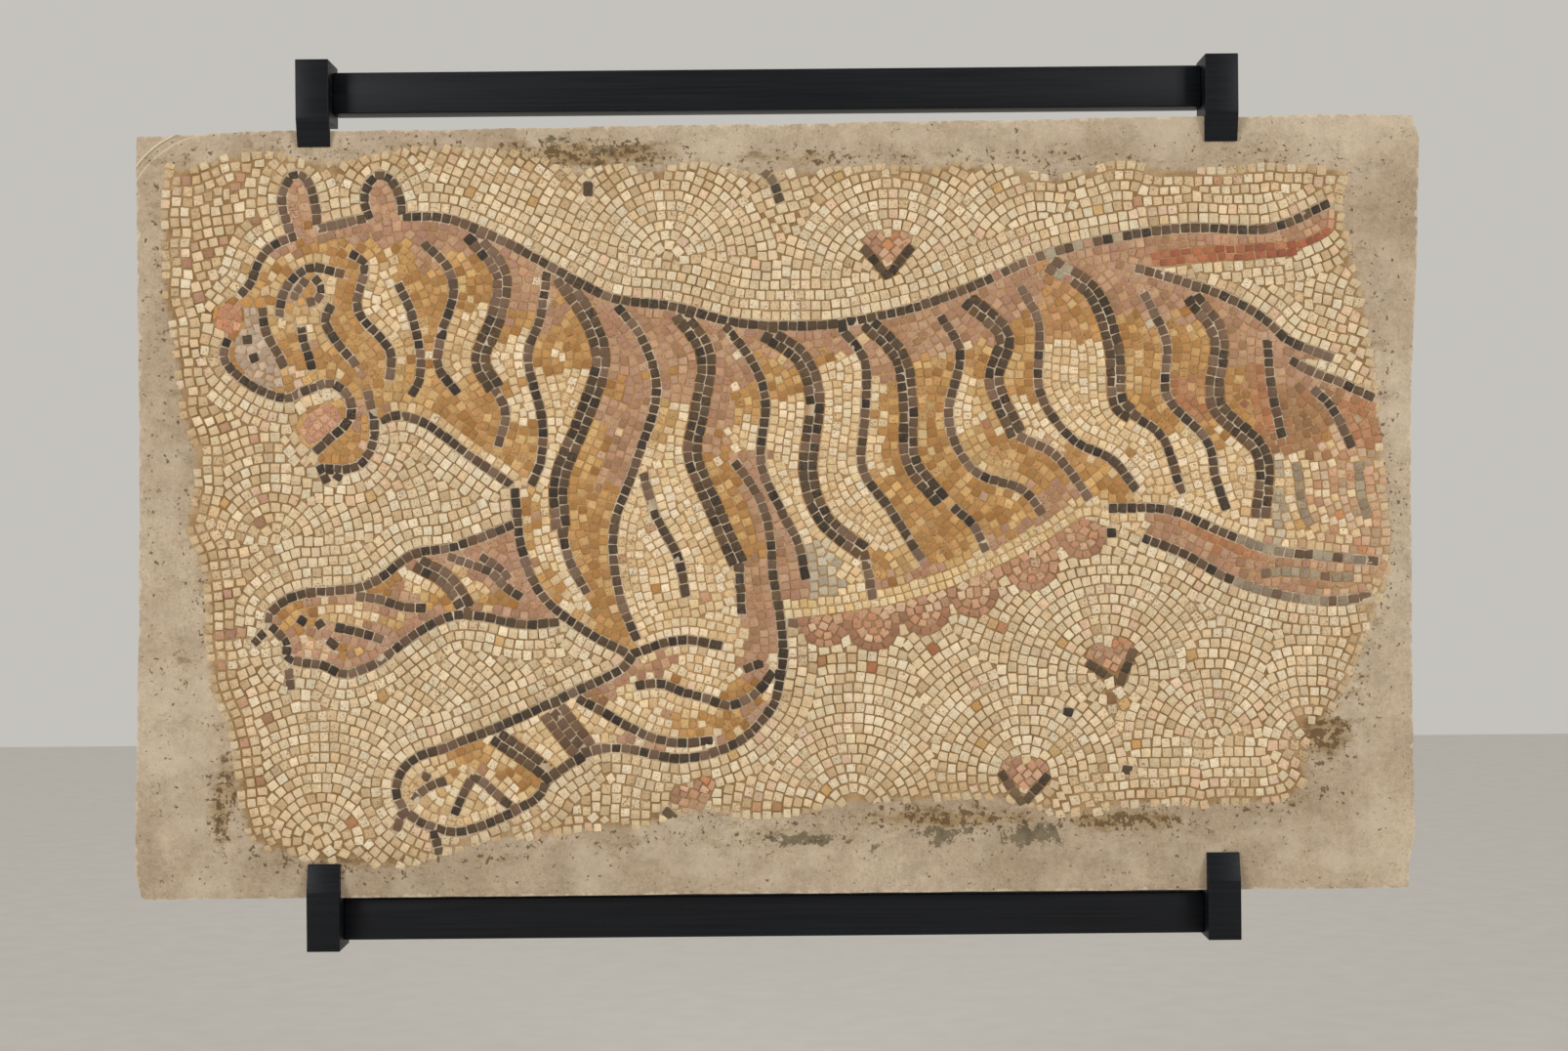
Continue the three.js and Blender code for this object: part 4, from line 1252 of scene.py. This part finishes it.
def clip_piece(name, node, panel_side):
    """A clip: its section drawn as a face, drawn out across the clip's width, its arrises eased."""
    low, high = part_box(node)
    clip = begun(name, bpy.ops.mesh.primitive_circle_add, vertices=7, radius=0.02, fill_type="NGON",
                 location=(low.x, 0, 0))
    slab_low, slab_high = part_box("mortar_slab")
    outer, slab_end = (high.z, slab_high.z) if panel_side < 0 else (low.z, slab_low.z)
    face_end = outer + panel_side * CLIP_FACE
    tip = outer + panel_side * CLIP_REACH
    ledge = slab_end - panel_side * CLEARANCE * MM
    lip = -(PANEL_FACE + CLEARANCE) * MM
    section = [(0, outer), (low.y, outer), (low.y, face_end), (lip - LIP_TIP * MM, tip), (lip, tip),
               (lip, ledge), (0, ledge)]
    for vert, (y, z) in zip(clip.data.vertices, section):
        vert.co = (low.x, y, z)
    shape_mode()
    bpy.ops.mesh.select_all(action="SELECT")
    bpy.ops.mesh.extrude_region_move(TRANSFORM_OT_translate={"value": (high.x - low.x, 0, 0)})
    bpy.ops.mesh.select_all(action="SELECT")
    bpy.ops.mesh.normals_make_consistent(inside=False)
    bevel_edges(clip, lambda a, b: min(a.y, b.y) < -0.04, CLIP_ARRIS, 3)
    shape_mode(False)
    smooth(clip, 30)
    return clip


# ---------------------------------------------------------------- finishes

COLOURS = {"data_type": "RGBA", "out": 2}  # a Mix node that mixes two colours
DARKENS = {"data_type": "RGBA", "out": 2, "blend_type": "MULTIPLY"}


def per(millimetres):
    """The scale at which a pattern repeats about once in so many millimetres."""
    return 1 / (millimetres * MM)


def node(tree, kind, sockets=None, stops=None, out=0, **settings):
    """Adds one node with its settings and links. A socket is linked where an output is given for
    it, and otherwise set; stops are a ramp's. Returns the output asked for."""
    added = tree.nodes.new("ShaderNode" + kind)
    for name, value in settings.items():
        setattr(added, name, value)
    for name, value in (sockets or {}).items():
        if isinstance(value, bpy.types.NodeSocket):
            tree.links.new(value, added.inputs[name])
        else:
            added.inputs[name].default_value = (*linear(value), 1) if isinstance(value, str) else value
    for i, (at, value) in enumerate(stops or ()):
        element = added.color_ramp.elements[i] if i < 2 else added.color_ramp.elements.new(at)
        element.position = at
        element.color = (*linear(value), 1) if isinstance(value, str) else (value, value, value, 1)
    return added.outputs[out] if added.outputs else added


def empty_material(name):
    """A new material with no nodes, and its node tree."""
    material = bpy.data.materials.new(name)
    material.use_nodes = True
    material.node_tree.nodes.clear()
    return material, material.node_tree


# Slot: material, roughness, specular level, colour of the earth on it, depth of its crystal grain.
STONE_FINISHES = {
    # Cream limestone, split with a hammer and rubbed level: a dry, faintly clouded face with brown
    # earth held along its arrises.
    "cream_stone": ("split_cream_limestone", 0.64, 0.3, "#99784f", 1.0),
    # Ochre and mauve limestone, split and rubbed: warmer and more clouded, with a low sheen.
    "ochre_stone": ("split_ochre_limestone", 0.6, 0.3, "#a07b4e", 1.1),
    # Red limestone, split and rubbed: dense and even, duller than the marbles.
    "red_stone": ("split_red_limestone", 0.62, 0.3, "#97714e", 1.0),
    # Pink marble, split and rubbed: sugary grain with a soft shine.
    "pink_stone": ("split_pink_marble", 0.56, 0.35, "#a57f5a", 1.2),
    # Grey-white marble, split and rubbed: the palest and smoothest of the stones.
    "grey_stone": ("split_grey_marble", 0.54, 0.35, "#9f9078", 1.1),
    # Dark limestone, split and rubbed: near black to brown, with pale lime caught on its edges.
    "dark_stone": ("split_dark_limestone", 0.55, 0.18, "#7d6750", 1.3),
}


def stone_finish(name, rough, shine, earth, grain):
    """Split stone, its own colour on every stone, worn flat and never quite clean again."""
    material, tree = empty_material(name)
    place = node(tree, "TexCoord", out="Object")
    colour = node(tree, "Attribute", attribute_name="stone_colour")
    arris = node(tree, "Attribute", attribute_name="arris", out="Fac")
    # clouding inside one stone, 5 mm, and crystal grain drawn coarse enough to show, 1 mm
    for size, detail, stops in ((5, 3, [(0.3, 0.88), (0.7, 1.06)]),
                                (1.0, 2, [(0.35, 1 - 0.15 * grain), (0.65, 1 + 0.09 * grain)])):
        tone = node(tree, "TexNoise", {"Vector": place, "Scale": per(size), "Detail": detail})
        tone = node(tree, "ValToRGB", {0: tone}, stops)
        colour = node(tree, "Mix", {0: 1.0, 6: colour, 7: tone}, **DARKENS)
    # earth along the arrises, and in pits 2 mm across that come in clusters 25 mm wide
    broken = node(tree, "TexNoise", {"Vector": place, "Scale": per(2.2), "Detail": 3})
    cling = node(tree, "Math", {0: broken, 1: 0.15}, operation="ADD")
    cling = node(tree, "Math", {0: cling, 1: arris}, operation="MULTIPLY", use_clamp=True)
    clusters = node(tree, "TexNoise", {"Vector": place, "Scale": per(25), "Detail": 2})
    pitted = node(tree, "TexNoise", {"Vector": place, "Scale": per(1.9), "Detail": 3})
    pitted = node(tree, "Math", {0: clusters, 1: 0.3, 2: pitted}, operation="MULTIPLY_ADD")
    pits = node(tree, "ValToRGB", {0: pitted}, [(0.76, 0.0), (0.83, 0.8)])
    # a thin veil of earth left on the faces, in patches 60 mm wide broken at 3 mm
    patches = node(tree, "TexNoise", {"Vector": place, "Scale": per(60), "Detail": 3})
    specks = node(tree, "TexNoise", {"Vector": place, "Scale": per(3), "Detail": 3})
    veil = node(tree, "Math", {0: patches, 1: specks}, operation="MULTIPLY")
    veil = node(tree, "ValToRGB", {0: veil}, [(0.26, 0.0), (0.42, 0.32)])
    for amount, soil in ((cling, earth), (pits, "#73543a"), (veil, earth)):
        colour = node(tree, "Mix", {0: amount, 6: colour, 7: soil}, **COLOURS)
    # the split face: fine pecking over a slow roll
    peck = node(tree, "TexNoise", {"Vector": place, "Scale": per(1.1), "Detail": 3})
    peck = node(tree, "Math", {0: peck, 1: pits}, operation="SUBTRACT")
    fine = node(tree, "Bump", {"Height": peck, "Strength": 0.35, "Distance": 0.25 * MM})
    roll = node(tree, "TexNoise", {"Vector": place, "Scale": per(6), "Detail": 2})
    face = node(tree, "Bump", {"Height": roll, "Normal": fine, "Strength": 0.5, "Distance": 0.5 * MM})
    worn = node(tree, "TexNoise", {"Vector": place, "Scale": per(4), "Detail": 3})
    worn = node(tree, "ValToRGB", {0: worn}, [(0.3, rough - 0.08), (0.7, rough + 0.12)])
    shader = node(tree, "BsdfPrincipled", {"Base Color": colour, "Roughness": worn, "Normal": face,
                                           "IOR": 1.5, "Specular IOR Level": shine})
    node(tree, "OutputMaterial", {"Surface": shader})
    return material


SCRATCH_MIDDLE = (-540, 275)  # two round scratches run across the upper left corner
# Radius of each scratch line, and its colour.
SCRATCHES = [(103.5, "#d6cbb4"), (101.8, "#8f7d62"), (95.0, "#c9bca2")]
# What settles or breaks on the mortar where its layer is strong, over a noise: the layer and its
# weight, the noise's size in millimetres, detail and roughness, and the ramp that cuts it off.
DAMP = ("stain", 0.35, 13, 8, 0.75, [(0.65, 0.0), (0.87, 0.85)])  # its edge wanders at 20 mm
CRUMBS = ("stain", 0.15, 5, 5, 0.6, [(0.655, 0.0), (0.685, 0.85)])  # of dark dirt, 4 mm
FLAKES = ("crust", 0.3, 11, 9, 0.74, [(0.735, 0.0), (0.755, 0.85)])  # grey-green, sharp, 12 mm
BREAKS = ("rim", 0.3, 9, 5, 0.6, [(0.74, 0.0), (0.84, 0.55)])  # fresh and white along the rims


def mortar_finish():
    """Lime mortar cast in a frame and wiped smooth: pale, sandy and dry, with damp stains and
    brown dirt where it meets the stones, flakes of crust, and white broken rims."""
    material, tree = empty_material("cast_lime_mortar")
    place = node(tree, "TexCoord", out="Object")
    layers = {name: node(tree, "Attribute", attribute_name=name, out="Fac")
              for name in ("bed", "lime", "coat", "stain", "crust", "rim", "corner")}

    def settling(layer, weight, size, detail, roughness, stops, across=place):
        """Where a patchy thing shows, and the noise that breaks it up."""
        noise = node(tree, "TexNoise", {"Vector": across, "Scale": per(size), "Detail": detail,
                                        "Roughness": roughness})
        amount = node(tree, "Math", {0: layers[layer], 1: weight, 2: noise}, operation="MULTIPLY_ADD")
        return node(tree, "ValToRGB", {0: amount}, stops), noise

    # the casting's own unevenness, 170 mm
    slow = node(tree, "TexNoise", {"Vector": place, "Scale": per(170), "Detail": 4})
    colour = node(tree, "ValToRGB", {0: slow}, [(0.35, "#a5927a"), (0.5, "#b09d85"), (0.65, "#bbaa92")])
    # the wiping, 24 mm, the sand, 2 mm, and scuffs and crumbled skin, 7 mm
    noises, tones = [], []
    for size, detail, roughness, stops in (
            (24, 8, 0.72, [(0.34, 0.88), (0.5, 0.99), (0.66, 1.1)]),
            (2.2, 4, 0.75, [(0.3, 0.8), (0.7, 1.13)]),
            (7, 8, 0.8, [(0.38, 0.84), (0.5, 1.0), (0.62, 1.1)])):
        noises.append(node(tree, "TexNoise", {"Vector": place, "Scale": per(size), "Detail": detail,
                                              "Roughness": roughness}))
        tones.append(node(tree, "ValToRGB", {0: noises[-1]}, stops))
        colour = node(tree, "Mix", {0: 1.0, 6: colour, 7: tones[-1]}, **DARKENS)
    wiped, sand = noises[0], tones[1]
    # a white bloom of lime in patches 60 mm wide
    bloom = node(tree, "TexNoise", {"Vector": place, "Scale": per(60), "Detail": 8, "Roughness": 0.65})
    bloom = node(tree, "ValToRGB", {0: bloom}, [(0.46, 0.0), (0.64, 0.42)])
    # air pits of the casting, 9 mm apart where there are any
    cells = node(tree, "TexVoronoi", {"Vector": place, "Scale": per(9)})
    cells = node(tree, "ValToRGB", {0: cells}, [(0.07, 1.0), (0.13, 0.0)])
    where = node(tree, "TexNoise", {"Vector": place, "Scale": per(16), "Detail": 2})
    where = node(tree, "ValToRGB", {0: where}, [(0.5, 0.0), (0.58, 0.6)])
    pits = node(tree, "Math", {0: cells, 1: where}, operation="MULTIPLY")
    # brown damp that has run sideways
    smear = node(tree, "Mapping", {"Vector": place, "Scale": (0.5, 1, 1)})
    damp, wander = settling(*DAMP, across=smear)
    shade = node(tree, "ValToRGB", {0: wander}, [(0.44, "#a68d69"), (0.56, "#8b7350"), (0.66, "#6a5438")])
    crumbs, _ = settling(*CRUMBS)
    flakes, _ = settling(*FLAKES)
    crust_shade = node(tree, "ValToRGB", {0: wiped}, [(0.4, "#554b39"), (0.6, "#71664f")])
    breaks, _ = settling(*BREAKS)
    for amount, tone in ((bloom, "#cfc0aa"), (pits, "#6d5a42"), (damp, shade), (crumbs, "#5f4a32"),
                         (flakes, crust_shade), (breaks, "#d2c7b2")):
        colour = node(tree, "Mix", {0: amount, 6: colour, 7: tone}, **COLOURS)
    # round scratches, about 1 mm wide
    scratch_place = (place_x(SCRATCH_MIDDLE[0]), -PANEL_FACE * MM, place_z(SCRATCH_MIDDLE[1]))
    reach = node(tree, "VectorMath", {0: place, 1: scratch_place}, operation="DISTANCE", out="Value")
    shaky = node(tree, "Math", {0: wiped, 1: 4 * MM, 2: reach}, operation="MULTIPLY_ADD")
    for radius, tone in SCRATCHES:
        line = node(tree, "Math", {0: shaky, 1: (radius + 2) * MM, 2: 0.8 * MM}, operation="COMPARE")
        for limit in (layers["corner"], 0.7):
            line = node(tree, "Math", {0: line, 1: limit}, operation="MULTIPLY")
        colour = node(tree, "Mix", {0: line, 6: colour, 7: tone}, **COLOURS)
    # earth in the ground's joints, paler in the coat's, pale lime between the dark stones, and
    # grime where it is damp
    soil = node(tree, "TexNoise", {"Vector": place, "Scale": per(25), "Detail": 4})
    earth, coat_earth, pale = (node(tree, "ValToRGB", {0: soil}, stops) for stops in (
        [(0.35, "#8c6d47"), (0.5, "#9c7d56"), (0.65, "#ae906a")],
        [(0.35, "#a17e54"), (0.65, "#bd996c")],
        [(0.35, "#a5927a"), (0.65, "#c9b9a0")]))
    grimy = node(tree, "ValToRGB", {0: damp}, [(0.15, 0.0), (0.6, 0.75)])
    for amount, tone in ((layers["coat"], coat_earth), (layers["lime"], pale), (grimy, "#6b5236")):
        earth = node(tree, "Mix", {0: amount, 6: earth, 7: tone}, **COLOURS)
    earth = node(tree, "Mix", {0: 1.0, 6: earth, 7: sand}, **DARKENS)
    colour = node(tree, "Mix", {0: layers["bed"], 6: colour, 7: earth}, **COLOURS)
    # sandy skin over shallow hollows, with the crust standing a little proud
    skin = node(tree, "TexNoise", {"Vector": place, "Scale": per(1.8), "Detail": 4, "Roughness": 0.7})
    skin = node(tree, "Bump", {"Height": skin, "Strength": 0.6, "Distance": 0.5 * MM})
    hollow = node(tree, "TexNoise", {"Vector": place, "Scale": per(11), "Detail": 4})
    hollow = node(tree, "Math", {0: hollow, 1: pits}, operation="SUBTRACT")
    hollow = node(tree, "Math", {0: flakes, 1: 0.4, 2: hollow}, operation="MULTIPLY_ADD")
    rough = node(tree, "Bump", {"Height": hollow, "Normal": skin, "Strength": 0.6, "Distance": 1.0 * MM})
    shader = node(tree, "BsdfPrincipled", {"Base Color": colour, "Normal": rough, "Roughness": 0.93,
                                           "Specular IOR Level": 0.2})
    node(tree, "OutputMaterial", {"Surface": shader})
    return material


def black_finish():
    """Black paint brushed on bar steel: near black, satin, with fine streaks along the bar and a
    little dust."""
    material, tree = empty_material("brushed_black_paint")
    place = node(tree, "TexCoord", out="Object")
    along = node(tree, "Mapping", {"Vector": place, "Scale": (0.02, 1, 1)})
    streaks = node(tree, "TexNoise", {"Vector": along, "Scale": per(2.5), "Detail": 4})
    colour = node(tree, "ValToRGB", {0: streaks}, [(0.3, "#07090d"), (0.7, "#11141a")])
    dust = node(tree, "TexNoise", {"Vector": place, "Scale": per(3), "Detail": 4, "Roughness": 0.7})
    dust = node(tree, "ValToRGB", {0: dust}, [(0.64, 0.0), (0.78, 0.08)])
    colour = node(tree, "Mix", {0: dust, 6: colour, 7: "#6f675a"}, **COLOURS)
    rough = node(tree, "ValToRGB", {0: streaks}, [(0.3, 0.36), (0.7, 0.5)])
    brushed = node(tree, "Bump", {"Height": streaks, "Strength": 0.15, "Distance": 0.1 * MM})
    shader = node(tree, "BsdfPrincipled", {"Base Color": colour, "Roughness": rough, "Normal": brushed,
                                           "IOR": 1.45, "Specular IOR Level": 0.22})
    node(tree, "OutputMaterial", {"Surface": shader})
    return material


# ---------------------------------------------------------------- the assembly


def fit_stones(corners, middles, kinds, names, far_in, rng):
    """Draws each stone in by half a joint, and cuts its corners a little unevenly. Joints are widest in the
    ground, more so near its edge and at the left, and so tight in the mauve and ochre coat that the
    stones nearly touch."""
    tight = (kinds == CAT) & np.isin(names, ["mauve", "ochre", "tan", "russet", "umber", "ear"])
    joint = np.select([kinds == GROUND, kinds == LINE, tight], [0.72, 0.5, 0.4], 0.55)
    loose = fade(far_in, 40) + 0.6 * rise(middles[:, 0], -440, -120)
    joint = joint + 0.6 * loose * (kinds == GROUND)
    joint = joint * rng.uniform(0.7, 1.3, len(kinds))
    shrink = np.clip(1 - joint / np.sqrt(face_area(corners)), 0.6, 1)
    return corners * shrink[:, None, None] + rng.normal(0, 0.17, corners.shape) + middles[:, None, :]


corners, kinds, shades, middles = lay_stones()
far_in = field_depth(middles[:, 0], middles[:, 1])
rng = np.random.default_rng(5)
names = name_colours(middles, kinds, shades, far_in, rng)
fitted = fit_stones(corners, middles, kinds, names, far_in, rng)

# stones lost along the ragged edge of the field and in a broken bay of it
bay = from_spot(middles, 520, -226) < 26
lost = (kinds == GROUND) & ((far_in < 9) | bay) & (rng.random(len(names)) < 0.22)
colours = pick_colours(names, rng)
edge_dirt = fade(far_in, 22)[:, None] * rng.uniform(0.1, 0.6, (len(names), 1))
colours = colours * (1 - edge_dirt) + np.array(linear("#b09770")) * edge_dirt

stone = pattern_stone()
finishes = {slot: stone_finish(*finish) for slot, finish in STONE_FINISHES.items()}
line_nodes = sorted(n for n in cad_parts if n.startswith("dark_line_") or n.endswith("_cup"))
for value, (name, slot, _) in enumerate(AREAS):
    mask = (kinds == value) & ~lost
    piece = stone_field(f"{name}_stones", fitted[mask], colours[mask], stone, rng)
    kin = {"coat": ["cat_tesserae"], "line": line_nodes}
    usual = f"{name}_petals" if name.startswith("rosebud") else f"{name}_tesserae"
    dress(piece, finishes[slot], slot, *kin.get(name, [usual]))

dress(slab_piece(), mortar_finish(), "mortar", "mortar_slab")
black = black_finish()
for name in ("upper_rail", "lower_rail"):
    dress(bar_piece(f"{name}_bar", name), black, "black_paint", name)
for side, panel_side in (("upper", -1), ("lower", 1)):
    for hand in ("left", "right"):
        name = f"{side}_{hand}_clip"
        dress(clip_piece(f"{side}_{hand}_end_clip", name, panel_side), black, "black_paint", name)

# ---------------------------------------------------------------- camera, light and floor

scene = bpy.context.scene
camera = bpy.data.objects.new("camera", bpy.data.cameras.new("camera"))
scene.collection.objects.link(camera)
camera.location = (0.013, -2.442, -0.427)
camera.rotation_euler = (math.pi / 2, 0.0087, 0)  # level, and turned half a degree on its axis
camera.data.lens = 56.6
scene.camera = camera

SOFTBOX = (0.9, 1.2)
SOFTBOX_WATTS = 42
for name, place in (("left_softbox", (-2.3, -2.4, 0.6)), ("right_softbox", (2.4, -2.4, 0.7))):
    data = bpy.data.lights.new(name, "AREA")
    data.shape = "RECTANGLE"
    data.size, data.size_y = SOFTBOX
    data.energy = SOFTBOX_WATTS
    lamp = bpy.data.objects.new(name, data)
    scene.collection.objects.link(lamp)
    lamp.location = place
    towards = Vector((0, 0, -0.4)) - Vector(place)
    lamp.rotation_euler = towards.to_track_quat("-Z", "Y").to_euler()
world = bpy.data.worlds.new("room")
world.use_nodes = True
world.node_tree.nodes["Background"].inputs["Color"].default_value = (*linear("#e9e6e0"), 1)
world.node_tree.nodes["Background"].inputs["Strength"].default_value = 0.68
scene.world = world
scene.view_settings.view_transform = "Standard"

bpy.ops.object.select_all(action="DESELECT")
bpy.ops.mesh.primitive_plane_add(size=14, location=(0, 0, -1.25))
floor = bpy.context.object
floor.name = "pale_floor"
# Painted floor: an even pale grey with a trace of unevenness.
paint, tree = empty_material("pale_floor_paint")
speck = node(tree, "TexNoise", {"Scale": per(60), "Vector": node(tree, "TexCoord", out="Object")})
speck = node(tree, "ValToRGB", {0: speck}, [(0.3, "#dedbd5"), (0.7, "#e3e0da")])
paint_shader = node(tree, "BsdfPrincipled", {"Base Color": speck, "Roughness": 0.8})
node(tree, "OutputMaterial", {"Surface": paint_shader})
floor.data.materials.append(paint)
